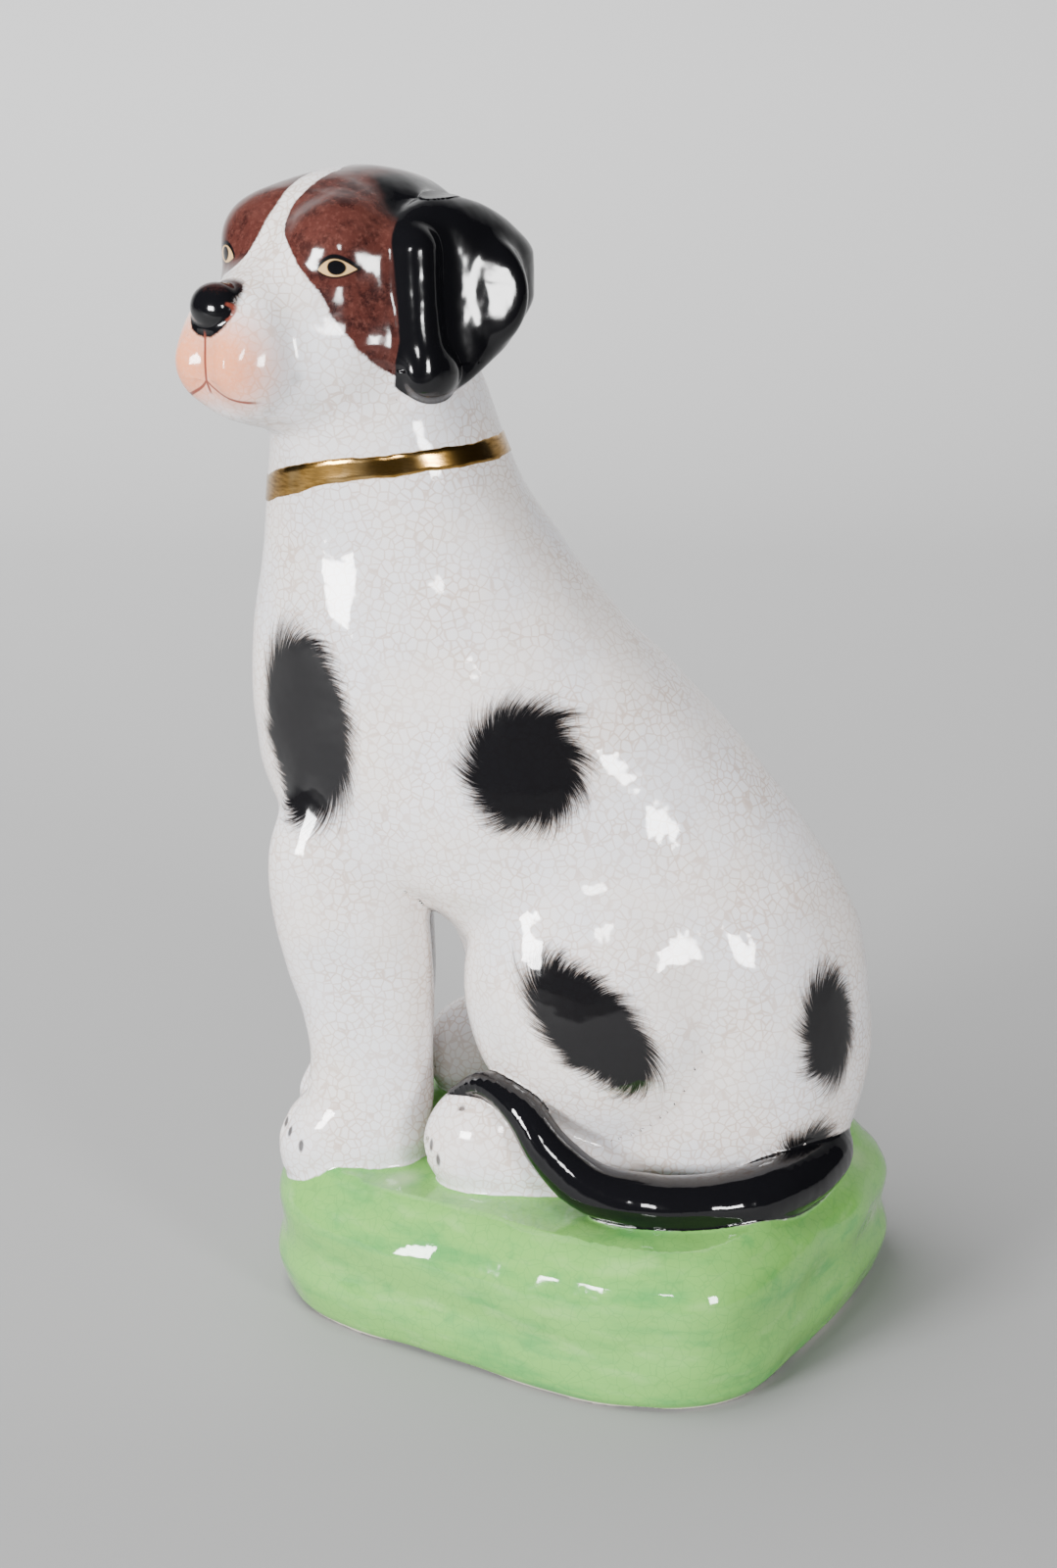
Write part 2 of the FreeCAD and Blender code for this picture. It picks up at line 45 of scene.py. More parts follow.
# Driving sizes in millimetres, as in the frame
BASE_LENGTH, BASE_WIDTH, BASE_HEIGHT = 155.0, 137.0, 43.0
BODY_YAW, BODY_LENGTH, BODY_WIDTH, BODY_HEIGHT = 25.0, 166.0, 82.0, 208.0
SEAT_DEPTH = 13.0
LEG_DEPTH, LEG_WIDTH, LEG_HEIGHT, LEG_SPREAD = 42.0, 29.0, 122.0, 15.5
HAUNCH = (72.0, 50.0, 84.0)
HAUNCH_LEAN = 14.0
FOOT_LENGTH, FOOT_WIDTH, FOOT_HEIGHT = 57.0, 29.0, 38.0
TAIL_DIAMETER = 16.0
HEAD_YAW, HEAD_LENGTH, HEAD_WIDTH, HEAD_HEIGHT = 53.0, 86.0, 59.0, 62.0
NOSE_WIDTH = 15.0
EAR_LENGTH, EAR_HEIGHT, EAR_THICKNESS = 48.0, 46.0, 18.0

BODY_START = BASE_HEIGHT - SEAT_DEPTH
SEAM_HEIGHT = BODY_START + BODY_HEIGHT

BASE_SHARES = [
    (0.00, 0.474, 0.479),
    (0.08, 0.490, 0.494),
    (0.24, 0.500, 0.500),
    (0.42, 0.494, 0.492),
    (0.60, 0.498, 0.492),
    (0.76, 0.490, 0.482),
    (0.86, 0.476, 0.466),
    (1.10, 0.462, 0.452),
]
CROWN_SOFTNESS = 21.0
BASE_POWER = 3.8
BODY_SHARES = [
    (0.000, 0.121, -0.350, 0.366),
    (0.087, 0.145, -0.444, 0.463),
    (0.173, 0.157, -0.467, 0.488),
    (0.255, 0.181, -0.466, 0.500),
    (0.351, 0.217, -0.447, 0.500),
    (0.413, 0.302, -0.413, 0.488),
    (0.452, 0.410, -0.386, 0.476),
    (0.500, 0.487, -0.347, 0.463),
    (0.558, 0.520, -0.290, 0.457),
    (0.615, 0.530, -0.232, 0.451),
    (0.683, 0.533, -0.154, 0.439),
    (0.755, 0.528, -0.060, 0.415),
    (0.817, 0.516, 0.005, 0.390),
    (0.865, 0.507, 0.050, 0.366),
    (0.913, 0.501, 0.092, 0.348),
    (0.962, 0.497, 0.122, 0.341),
    (1.000, 0.492, 0.140, 0.341),
    (1.060, 0.475, 0.168, 0.325),
    (1.110, 0.446, 0.213, 0.275),
]
BODY_POWER = 2.1
LEG_SHARES = [
    (0.000, 0.42, -0.46, 0.00, 0.44),
    (0.060, 0.51, -0.49, 0.00, 0.50),
    (0.107, 0.51, -0.50, 0.00, 0.50),
    (0.165, 0.44, -0.50, 0.00, 0.47),
    (0.230, 0.30, -0.51, 0.00, 0.43),
    (0.300, 0.28, -0.51, 0.00, 0.42),
    (0.410, 0.32, -0.52, 0.00, 0.43),
    (0.530, 0.42, -0.52, -0.01, 0.46),
    (0.660, 0.50, -0.50, -0.03, 0.52),
    (0.790, 0.50, -0.36, -0.05, 0.50),
    (0.900, 0.40, -0.22, -0.07, 0.38),
    (1.000, 0.26, -0.10, -0.09, 0.22),
    (1.110, 0.15, 0.05, -0.09, 0.06),
]
LEG_POWER = 2.3
FAR_LEG_THINNER_SHARE = 0.09
FAR_HAUNCH_BACK = 6.0
LEG_REACH_SHARE = 0.370
HEAD_SHARES = [
    (-0.425, 0.115, -0.040, 0.10),
    (-0.395, 0.250, -0.180, 0.25),
    (-0.335, 0.365, -0.330, 0.37),
    (-0.220, 0.470, -0.450, 0.46),
    (-0.050, 0.515, -0.500, 0.50),
    (0.090, 0.490, -0.510, 0.50),
    (0.190, 0.430, -0.510, 0.47),
    (0.270, 0.310, -0.500, 0.41),
    (0.335, 0.205, -0.485, 0.34),
    (0.405, 0.140, -0.465, 0.28),
    (0.480, 0.095, -0.430, 0.25),
    (0.535, 0.030, -0.360, 0.20),
    (0.570, -0.070, -0.260, 0.12),
]
HEAD_POWER = 2.15
HEAD_PLACE_SHARES = (0.3645, -0.006, 1.154)
EAR_SHARES = [
    (0.50, -0.16, 0.12, -0.30, 0.12),
    (0.45, -0.18, 0.26, -0.24, 0.27),
    (0.34, -0.21, 0.40, -0.17, 0.42),
    (0.17, -0.25, 0.50, -0.12, 0.50),
    (-0.04, -0.24, 0.50, -0.08, 0.50),
    (-0.22, -0.15, 0.43, -0.02, 0.46),
    (-0.36, -0.06, 0.32, 0.06, 0.38),
    (-0.46, 0.02, 0.20, 0.08, 0.28),
    (-0.50, 0.05, 0.08, 0.08, 0.12),
]
EAR_POWER = 2.2
EAR_LIFT_SHARE = 0.03
TAIL_SHARES = [
    (-0.350, -0.04, 0.18, 0.46),
    (-0.392, 0.12, 0.10, 0.53),
    (-0.376, 0.28, 0.05, 0.56),
    (-0.318, 0.45, 0.04, 0.56),
    (-0.229, 0.570, 0.04, 0.54),
    (-0.133, 0.615, 0.06, 0.50),
    (-0.040, 0.605, 0.14, 0.45),
    (0.030, 0.570, 0.37, 0.39),
    (0.080, 0.515, 0.64, 0.33),
    (0.139, 0.435, 0.73, 0.24),
    (0.193, 0.372, 0.60, 0.11),
]
TAIL_DROP = 1.0
HAUNCH_PLACE_SHARES = (-0.036, 0.293, 0.298)
PAW_PLACE_SHARES = (0.120, 0.366, 0.096)
FAR_PAW_FORWARD_SHARE = 0.168
HEEL_BACK_SHARE = 0.36
HEEL_DROP_SHARE = 0.10
HEEL_SHARES = (0.42, 0.42, 0.34)
PAW_LENGTH_SHARE = 0.74
NOSE_PLACE_SHARES = (0.520, 0.0, 0.010)
NOSE_SHARES = (0.40, 0.50, 0.42)
LIP_PLACE_SHARES = (0.445, 0.110, -0.215)
LIP_SHARES = (0.85, 0.58, 0.74)

# Grooves between the toes: of the forepaws, the forward and upward place of both ends, and of
# the hind feet, both ends from the paw's middle, before each one's lean and drop
TOE_GROOVE_LEANS = (-4.4, 4.2)
TOE_GROOVE_LOW, TOE_GROOVE_HIGH, TOE_GROOVE_RADII = (84.0, 43.0), (73.0, 61.0), (1.3, 0.5)
TOE_GROOVE_SPREAD_SHARE = 0.98
HIND_GROOVES = ((-4.5, 7.5), (3.5, 9.5))
HIND_GROOVE_LOW, HIND_GROOVE_HIGH, HIND_GROOVE_RADII = (26, -3), (6, 4, 17), (1.6, 0.6)
TOE_SOFTNESS, HIND_TOE_SOFTNESS = 2.4, 2.2
HEEL_SOFTNESS = 9.0

# Soft forms of the ear, in the head frame with the ear's own side positive
EAR_BULGE = ((-16, 31.5, 1), (10, 11, 14))
EAR_PLANE_POINT, EAR_PLANE_FACING = (-14, 38.4, 0), (0.468, 0.881, 0.07)
EAR_RIDGE = ((6.2, 28.4, 13), (7.2, 31.0, -11), (6.0, 6.4))
EAR_LOBE = ((5.0, 34.0, -16.5), (8.0, 4.2, 6.0))
EAR_FOLD = ((4.0, 40.0, -11.5), (-8.0, 40.5, -9.0), (0.9, 0.5))
EAR_SOFTNESS = {"bulge": 4, "plane": 4, "ridge": 9, "lobe": 6, "fold": 2.2}
FAR_EAR_INSET, FAR_EAR_DRAWN_IN = 3.3, 6.0


def turned(first, second, degrees):
    """The plane coordinates (first, second) seen in axes turned by an angle."""
    angle = math.radians(degrees)
    c, s = math.cos(angle), math.sin(angle)
    return c * first + s * second, c * second - s * first


def body_frame(p):
    """Row coordinates to the dog's own: forward, left, up."""
    u, v = turned(p[:, 0], p[:, 1], 180 + BODY_YAW)
    return u, v, p[:, 2]


HEAD_ORIGIN = (
    HEAD_PLACE_SHARES[0] * BODY_LENGTH,
    HEAD_PLACE_SHARES[1] * BODY_WIDTH,
    BODY_START + HEAD_PLACE_SHARES[2] * BODY_HEIGHT,
)


def head_frame(u, v, w):
    """Body coordinates to the head's: along the muzzle, left, up."""
    a, b = turned(u - HEAD_ORIGIN[0], v - HEAD_ORIGIN[1], HEAD_YAW)
    return a, b, w - HEAD_ORIGIN[2]


def join(a, b, soft):
    """Union of two distance fields with a rounded inner corner."""
    h = np.maximum(soft - np.abs(a - b), 0) / soft
    return np.minimum(a, b) - h * h * h * soft / 6


def carve(a, b, soft):
    """a with b taken out of it, with a rounded edge."""
    return -join(-a, b, soft)


def smooth_table(rows, columns, level):
    """Columns of a share table along its first one, by a monotone cubic, at each level."""
    x = np.array([row[0] for row in rows])
    order = np.argsort(x)
    x = x[order]
    grid = np.linspace(x[0], x[-1], 400)
    step = np.diff(x)
    cell = np.clip(np.searchsorted(x, grid) - 1, 0, len(step) - 1)
    t = (grid - x[cell]) / step[cell]
    found = []
    for column in columns:
        y = np.array(column)[order]
        slope = np.diff(y) / step
        tangent = np.empty_like(y)
        tangent[0], tangent[-1] = slope[0], slope[-1]
        product = slope[:-1] * slope[1:]
        mean = 2 * product / np.where(product > 0, slope[:-1] + slope[1:], 1)
        tangent[1:-1] = np.where(product > 0, mean, 0)
        value = (
            (1 + 2 * t) * (1 - t) ** 2 * y[cell]
            + t * (1 - t) ** 2 * step[cell] * tangent[cell]
            + t * t * (3 - 2 * t) * y[cell + 1]
            + t * t * (t - 1) * step[cell] * tangent[cell + 1]
        )
        found.append(np.interp(level, grid, value))
    return found


def stack(level, first, second, rows, sections, power, length):
    """A form through superellipse sections. sections: middle and half of both axes per row."""
    mid_a, half_a, mid_b, half_b = zip(*sections)
    squares = [mid_a, np.square(half_a), mid_b, np.square(half_b)]
    ca, ra, cb, rb = smooth_table(rows, squares, level)
    a, b = np.abs(first - ca), np.abs(second - cb)
    q = ((a / np.sqrt(ra)) ** power + (b / np.sqrt(rb)) ** power) ** (1 / power)
    reach = np.hypot(a, b)
    side = np.where(q > 1e-4, reach * (1 - 1 / np.maximum(q, 1e-4)), -np.sqrt(np.minimum(ra, rb)))
    low, high = min(row[0] for row in rows), max(row[0] for row in rows)
    ends = np.maximum(low - level, level - high) * length
    return np.maximum(side, ends)


def egg(u, v, w, centre, radii):
    """Distance to an ellipsoid, near enough for joining."""
    a, b, c = u - centre[0], v - centre[1], w - centre[2]
    k = np.sqrt((a / radii[0]) ** 2 + (b / radii[1]) ** 2 + (c / radii[2]) ** 2)
    g = np.sqrt((a / radii[0] ** 2) ** 2 + (b / radii[1] ** 2) ** 2 + (c / radii[2] ** 2) ** 2)
    return k * (k - 1) / np.maximum(g, 1e-6)


def rod(u, v, w, start, end, radii):
    """Distance to a round rod whose radius runs from one end's to the other's."""
    axis = [end[i] - start[i] for i in range(3)]
    length = sum(x * x for x in axis)
    a, b, c = u - start[0], v - start[1], w - start[2]
    t = np.clip((a * axis[0] + b * axis[1] + c * axis[2]) / length, 0, 1)
    gap = np.sqrt((a - t * axis[0]) ** 2 + (b - t * axis[1]) ** 2 + (c - t * axis[2]) ** 2)
    return gap - (radii[0] + (radii[1] - radii[0]) * t)


def curve_points(rows, steps):
    """A smooth path (Catmull-Rom) through rows of any width."""
    rows = np.array(rows)
    padded = np.vstack([2 * rows[0] - rows[1], rows, 2 * rows[-1] - rows[-2]])
    made = []
    for i in range(len(rows) - 1):
        p0, p1, p2, p3 = padded[i:i + 4]
        for t in np.linspace(0, 1, steps, endpoint=False):
            made.append(0.5 * (
                2 * p1 + (p2 - p0) * t + (2 * p0 - 5 * p1 + 4 * p2 - p3) * t * t
                + (3 * p1 - 3 * p2 + p3 - p0) * t ** 3
            ))
    made.append(rows[-1])
    return made


# Forms. Each takes row coordinates and gives a distance in millimetres.
def base(p):
    rows = BASE_SHARES
    sections = [(0, a * BASE_LENGTH, 0, b * BASE_WIDTH) for _, a, b in rows]
    wall = stack(p[:, 2] / BASE_HEIGHT, p[:, 0], p[:, 1], rows, sections, BASE_POWER, BASE_HEIGHT)
    return carve(wall, BASE_HEIGHT - p[:, 2], CROWN_SOFTNESS)


def torso(u, v, w):
    sections = [
        ((f + b) / 2 * BODY_LENGTH, (f - b) / 2 * BODY_LENGTH, 0, half * BODY_WIDTH)
        for _, f, b, half in BODY_SHARES
    ]
    return stack((w - BODY_START) / BODY_HEIGHT, u, v, BODY_SHARES, sections, BODY_POWER, BODY_HEIGHT)


def foreleg(u, v, w, side):
    thinner = 0 if side > 0 else FAR_LEG_THINNER_SHARE
    middle = LEG_REACH_SHARE * BODY_LENGTH
    sections = [
        (
            middle + (f + b + thinner) / 2 * LEG_DEPTH, (f - b - thinner) / 2 * LEG_DEPTH,
            LEG_SPREAD - inward * LEG_WIDTH, half * LEG_WIDTH,
        )
        for _, f, b, inward, half in LEG_SHARES
    ]
    v = side * v
    form = stack((w - BODY_START) / LEG_HEIGHT, u, v, LEG_SHARES, sections, LEG_POWER, LEG_HEIGHT)
    for lean in TOE_GROOVE_LEANS:
        spread = LEG_SPREAD + lean
        low = (TOE_GROOVE_LOW[0], spread, TOE_GROOVE_LOW[1])
        high = (TOE_GROOVE_HIGH[0], spread * TOE_GROOVE_SPREAD_SHARE, TOE_GROOVE_HIGH[1])
        form = carve(form, rod(u, v, w, low, high, TOE_GROOVE_RADII), TOE_SOFTNESS)
    return form


def of_body(shares):
    """A place in the body frame from shares of the body's sizes."""
    forward, side, up = shares
    return forward * BODY_LENGTH, side * BODY_WIDTH, BODY_START + up * BODY_HEIGHT


def haunch(u, v, w, side):
    cu, cv, cw = of_body(HAUNCH_PLACE_SHARES)
    cu -= 0 if side > 0 else FAR_HAUNCH_BACK
    a, c = turned(u - cu, w - cw, -HAUNCH_LEAN)
    return egg(a, side * v, c, (0, cv, 0), [size / 2 for size in HAUNCH])


def hind_foot(u, v, w, side):
    forward = PAW_PLACE_SHARES[0] if side > 0 else FAR_PAW_FORWARD_SHARE
    cu, cv, cw = of_body((forward,) + PAW_PLACE_SHARES[1:])
    v = side * v
    size = (FOOT_LENGTH, FOOT_WIDTH, FOOT_HEIGHT)
    ball = egg(u, v, w, (cu, cv, cw), (FOOT_LENGTH / 2 * PAW_LENGTH_SHARE, FOOT_WIDTH / 2, FOOT_HEIGHT / 2))
    heel = (cu - HEEL_BACK_SHARE * FOOT_LENGTH, cv, cw - HEEL_DROP_SHARE * FOOT_HEIGHT)
    heel_radii = [length * share for length, share in zip(size, HEEL_SHARES)]
    form = join(ball, egg(u, v, w, heel, heel_radii), HEEL_SOFTNESS)
    for lean, drop in HIND_GROOVES:
        low = (cu + HIND_GROOVE_LOW[0], cv + lean + HIND_GROOVE_LOW[1], cw - drop)
        high = (cu + HIND_GROOVE_HIGH[0], cv + lean + HIND_GROOVE_HIGH[1], cw + HIND_GROOVE_HIGH[2])
        form = carve(form, rod(u, v, w, low, high, HIND_GROOVE_RADII), HIND_TOE_SOFTNESS)
    return form


def tail(u, v, w):
    rows = [
        (f * BODY_LENGTH, s * BODY_WIDTH, BASE_HEIGHT - TAIL_DROP + lift * FOOT_HEIGHT, r * TAIL_DIAMETER)
        for f, s, lift, r in TAIL_SHARES
    ]
    points = curve_points(rows, 5)
    pairs = zip(points[:-1], points[1:])
    rods = [rod(u, v, w, start[:3], end[:3], (start[3], end[3])) for start, end in pairs]
    return np.min(rods, axis=0)


def of_head(shares):
    """A place in the head frame from shares of the head's sizes."""
    return [share * size for share, size in zip(shares, (HEAD_LENGTH, HEAD_WIDTH, HEAD_HEIGHT))]


def of_nose(shares):
    return [share * NOSE_WIDTH for share in shares]


# Soft forms of the head, the same on both sides: middle, half sizes and softness of the join.
# They are joined in this order.
HEAD_FORMS = {
    "brow": ((15, 12, 13), (13, 13.5, 12.5), 8),
    "cheek": ((13, 16, -9), (15, 12.5, 13), 9),
    "lip": (of_head(LIP_PLACE_SHARES), of_nose(LIP_SHARES), 4),
    "chin": ((32, 0, -21), (12, 9.5, 7), 5),
    "jaw": ((8, 0, -21), (27, 18, 12), 9),
    "eyeball": ((16.4, 16.0, 9.4), (7.9, 7.9, 5.6), 3.5),
    "nose": (of_head(NOSE_PLACE_SHARES), of_nose(NOSE_SHARES), 2.6),
}
PHILTRUM = ((51.5, 0, -5), (50.5, 0, -17), (0.7, 0.9))
PHILTRUM_SOFTNESS = 1.5


def skull(a, b, c):
    sections = [
        (0, half * HEAD_WIDTH, (top + jaw) / 2 * HEAD_HEIGHT, (top - jaw) / 2 * HEAD_HEIGHT)
        for _, top, jaw, half in HEAD_SHARES
    ]
    form = stack(a / HEAD_LENGTH, b, c, HEAD_SHARES, sections, HEAD_POWER, HEAD_LENGTH)
    for middle, radii, soft in HEAD_FORMS.values():
        form = join(form, egg(a, np.abs(b), c, middle, radii), soft)
    return carve(form, rod(a, b, c, *PHILTRUM), PHILTRUM_SOFTNESS)


def ear(a, b, c, side):
    s = side * b
    sections = [
        (m * EAR_LENGTH, l * EAR_LENGTH, HEAD_WIDTH / 2 + out * EAR_THICKNESS, half * EAR_THICKNESS)
        for _, m, l, out, half in EAR_SHARES
    ]
    form = stack(c / EAR_HEIGHT - EAR_LIFT_SHARE, a, s, EAR_SHARES, sections, EAR_POWER, EAR_HEIGHT)
    inset, drawn_in = (0, 0) if side > 0 else (FAR_EAR_INSET, FAR_EAR_DRAWN_IN)
    form = join(form, egg(a, s + drawn_in, c, *EAR_BULGE), EAR_SOFTNESS["bulge"])
    rows = zip((a, s + drawn_in, c), EAR_PLANE_POINT, EAR_PLANE_FACING)
    beyond = sum((x - middle) * facing for x, middle, facing in rows)
    form = carve(form, -beyond, EAR_SOFTNESS["plane"])
    form = join(form, rod(a, s + inset, c, *EAR_RIDGE), EAR_SOFTNESS["ridge"])
    form = join(form, egg(a, s + inset, c, *EAR_LOBE), EAR_SOFTNESS["lobe"])
    return carve(form, rod(a, s, c, *EAR_FOLD), EAR_SOFTNESS["fold"])


PIECES = [
    "base_mound", "torso", "head", "ear_left", "ear_right", "foreleg_left", "foreleg_right",
    "haunch_left", "haunch_right", "hind_foot_left", "hind_foot_right", "tail",
]
HEAD_PIECES = ("head", "ear_left", "ear_right")
# The form of each piece, by its name without the side
FORMS = {
    "torso": torso, "tail": tail, "foreleg": foreleg, "haunch": haunch, "hind_foot": hind_foot,
    "head": skull, "ear": ear,
}
# What joins the torso, in order, and how softly
JOINS = [
    (("foreleg_left",), 9),
    (("foreleg_right",), 9),
    (("haunch_left",), 5),
    (("haunch_right",), 5),
    (("head",), 9),
    (("hind_foot_left", "hind_foot_right"), 3.5),
    (("ear_left", "ear_right"), 9),
    (("tail",), 1.8),
    (("base_mound",), 3.5),
]
UNSEEN = 60.0


def form_of(name, p, body, head):
    """The distance to one piece's own form."""
    if name == "base_mound":
        return base(p)
    place = head if name in HEAD_PIECES else body
    if name in FORMS:
        return FORMS[name](*place)
    kind, _, side = name.rpartition("_")
    return FORMS[kind](*place, 1 if side == "left" else -1)


def fields(p, use):
    """The distance to each piece's own form, one row for each name in PIECES.

    use says, for each form and point, whether the form matters there.
    """
    body = body_frame(p)
    head = head_frame(*body)
    rows = np.full((len(PIECES), len(p)), UNSEEN)
    for index, name in enumerate(PIECES):
        chosen = np.flatnonzero(use[index])
        if len(chosen):
            frames = [tuple(x[chosen] for x in axes) for axes in (body, head)]
            rows[index, chosen] = form_of(name, p[chosen], *frames)
    return rows


def whole(rows):
    """All the forms joined, with the softness that each joint has on the casting."""
    d = dict(zip(PIECES, rows))
    form = d["torso"]
    for names, soft in JOINS:
        form = join(form, np.min([d[name] for name in names], axis=0), soft)
    return form


# Unevenness of the casting: slow swells, each a direction with its wavelength, height and phase
SWELLS = [
    ((0.83, 0.21, 0.52), 41.0, 0.16, 0.3),
    ((-0.35, 0.90, 0.25), 33.0, 0.14, 1.9),
    ((0.42, -0.48, 0.77), 27.0, 0.12, 4.1),
    ((0.11, 0.67, -0.73), 19.0, 0.08, 2.6),
    ((-0.76, 0.32, 0.57), 15.0, 0.06, 5.2),
    ((0.58, 0.74, 0.34), 11.0, 0.035, 0.8),
]
# The mound's own swells: low ledges round it and shallow hand-pressed hollows
BASE_SWELLS = [
    ((0.90, 0.30, 0.30), 58.0, 0.42, 0.9),
    ((-0.20, 0.95, 0.24), 49.0, 0.38, 2.2),
    ((0.10, 0.05, 0.99), 17.0, 0.30, 0.4),
    ((0.62, -0.70, 0.36), 27.0, 0.26, 3.3),
    ((0.97, 0.10, -0.22), 21.0, 0.18, 5.0),
]
# They fade out this far inside the mound's wall and under the dog, and lower it by this much
BASE_SWELL_EDGE, BASE_SWELL_UNDER, BASE_SWELL_DROP = 5.0, 6.0, 0.6


def swell(p, waves):
    height = 0
    for direction, wavelength, size, phase in waves:
        height = height + size * np.sin(p @ np.array(direction) * (2 * math.pi / wavelength) + phase)
    return height


SLAB_LENGTH, SLAB_WIDTH, SLAB_CORNER, SLAB_THICKNESS = 118.0, 100.0, 30.0, 4.0
WALL = 5.0
SLAB_GAP = 0.15
SKIN_DROP = 0.2


def slab_room(p):
    """Where the closing slab lies, a hair larger than it."""
    a = np.abs(p[:, 0]) - SLAB_LENGTH / 2 + SLAB_CORNER
    b = np.abs(p[:, 1]) - SLAB_WIDTH / 2 + SLAB_CORNER
    side = np.hypot(np.maximum(a, 0), np.maximum(b, 0)) + np.minimum(np.maximum(a, b), 0) - SLAB_CORNER
    return np.maximum(side - SLAB_GAP, p[:, 2] - SLAB_THICKNESS - SLAB_GAP)


SHOULDER = (22.0, 37.0, 150.0)
SHOULDER_SPREAD, SHOULDER_RISE = 12.0, 3.0


def shoulder(p):
    """A low swelling on each flank over the elbow."""
    u, v, w = body_frame(p)
    square = (u - SHOULDER[0]) ** 2 + (np.abs(v) - SHOULDER[1]) ** 2 + (w - SHOULDER[2]) ** 2
    return SHOULDER_RISE * np.exp(-square / (2 * SHOULDER_SPREAD ** 2))


def surface(p, rows):
    """The whole outer surface: the joined forms, less the slab's seat and the mound's hollow."""
    on_base = np.clip(1 - rows[0] / BASE_SWELL_EDGE, 0, 1) * np.clip(rows[1] / BASE_SWELL_UNDER, 0, 1)
    raised = swell(p, SWELLS) + on_base * (swell(p, BASE_SWELLS) - BASE_SWELL_DROP) + shoulder(p)
    form = whole(rows) + SKIN_DROP - raised
    upright = np.maximum(SLAB_THICKNESS - p[:, 2], p[:, 2] - BASE_HEIGHT + WALL)
    hollow = np.maximum(rows[0] + WALL, upright)
    form = np.maximum(form, -np.minimum(hollow, slab_room(p)))
    return np.maximum(form, -p[:, 2])


# Deeper in the mound than this, each millimetre counts this many times for the mound
MOUND_SKIN, MOUND_CLAIM = 0.4, 8.0


def piece_of(p, rows):
    """Index of the piece each point belongs to. The luting seam parts the head from the body."""
    rated = rows.copy()
    rated[0] -= MOUND_CLAIM * np.maximum(-rows[0] - MOUND_SKIN, 0)
    above = p[:, 2] > SEAM_HEIGHT
    far = 1e3
    for index, name in enumerate(PIECES):
        rated[index] += np.where(above == (name in HEAD_PIECES), 0, far)
    return rated.argmin(0)


# Grid nodes along a block, how near a form has to be to count, and blocks worked out at once
BLOCK = 6
ACTIVE_REACH = 26.0
CHUNK = 400
SKIN_REACH_SHARE, WALL_REACH_SHARE, STEEPEST = 1.3, 0.9, 4.0
# What nodes away from the surface hold as their distance to it
FAR_VALUE = 4.0


def near_blocks(low, counts, step):
    """Blocks of the grid that hold the surface or a wall between pieces, and a rough fill."""
    blocks = [-(-count // BLOCK) for count in counts]
    index = np.argwhere(np.ones(blocks, bool))
    centre = low + (index * BLOCK + (BLOCK - 1) / 2) * step
    rows = fields(centre, np.ones((len(PIECES), len(centre)), bool))
    value = surface(centre, rows)
    label = piece_of(centre, rows)
    half = BLOCK * step * math.sqrt(3) / 2
    slope = np.zeros(len(value))
    shaped = value.reshape(blocks)
    for axis in range(3):
        slope += np.gradient(shaped, BLOCK * step, axis=axis).ravel() ** 2
    slope = np.clip(np.sqrt(slope), 1, STEEPEST)
    near = np.abs(value) < half * SKIN_REACH_SHARE * slope
    second = np.sort(rows, axis=0)[1]
    near |= (value < 0) & (second < half * WALL_REACH_SHARE)
    near |= (np.abs(centre[:, 2] - SEAM_HEIGHT) < half) & (value < half)
    active = rows < np.minimum(value, 0) + ACTIVE_REACH
    return blocks, index, near, active, value, label


def fill_grid(low, counts, step):
    """Distance and piece label (from 1, and 0 outside) at every node of a grid."""
    blocks, index, near, active, value, label = near_blocks(low, counts, step)
    rough = np.where(value < 0, label + 1, 0).astype(np.int8)
    full_value = np.where(value < 0, -FAR_VALUE, FAR_VALUE).astype(np.float32).reshape(blocks)
    full_label = rough.reshape(blocks)
    for axis in range(3):
        full_value = np.repeat(full_value, BLOCK, axis)
        full_label = np.repeat(full_label, BLOCK, axis)
    inner = np.argwhere(np.ones([BLOCK] * 3, bool))
    chosen = index[near]
    flags = active[:, near]
    for start in range(0, len(chosen), CHUNK):
        nodes = (chosen[start:start + CHUNK, None] * BLOCK + inner).reshape(-1, 3)
        points = low + nodes * step
        use = np.repeat(flags[:, start:start + CHUNK], len(inner), axis=1)
        rows = fields(points, use)
        found = surface(points, rows)
        place = tuple(nodes.T)
        full_value[place] = found
        full_label[place] = np.where(found < 0, piece_of(points, rows) + 1, 0)
    wanted = tuple(slice(count) for count in counts)
    return full_value[wanted], full_label[wanted]


CORNERS = [(i, j, k) for i in (0, 1) for j in (0, 1) for k in (0, 1)]
EDGES = [
    (a, b) for a in range(8) for b in range(a + 1, 8)
    if sum(abs(x - y) for x, y in zip(CORNERS[a], CORNERS[b])) == 1
]


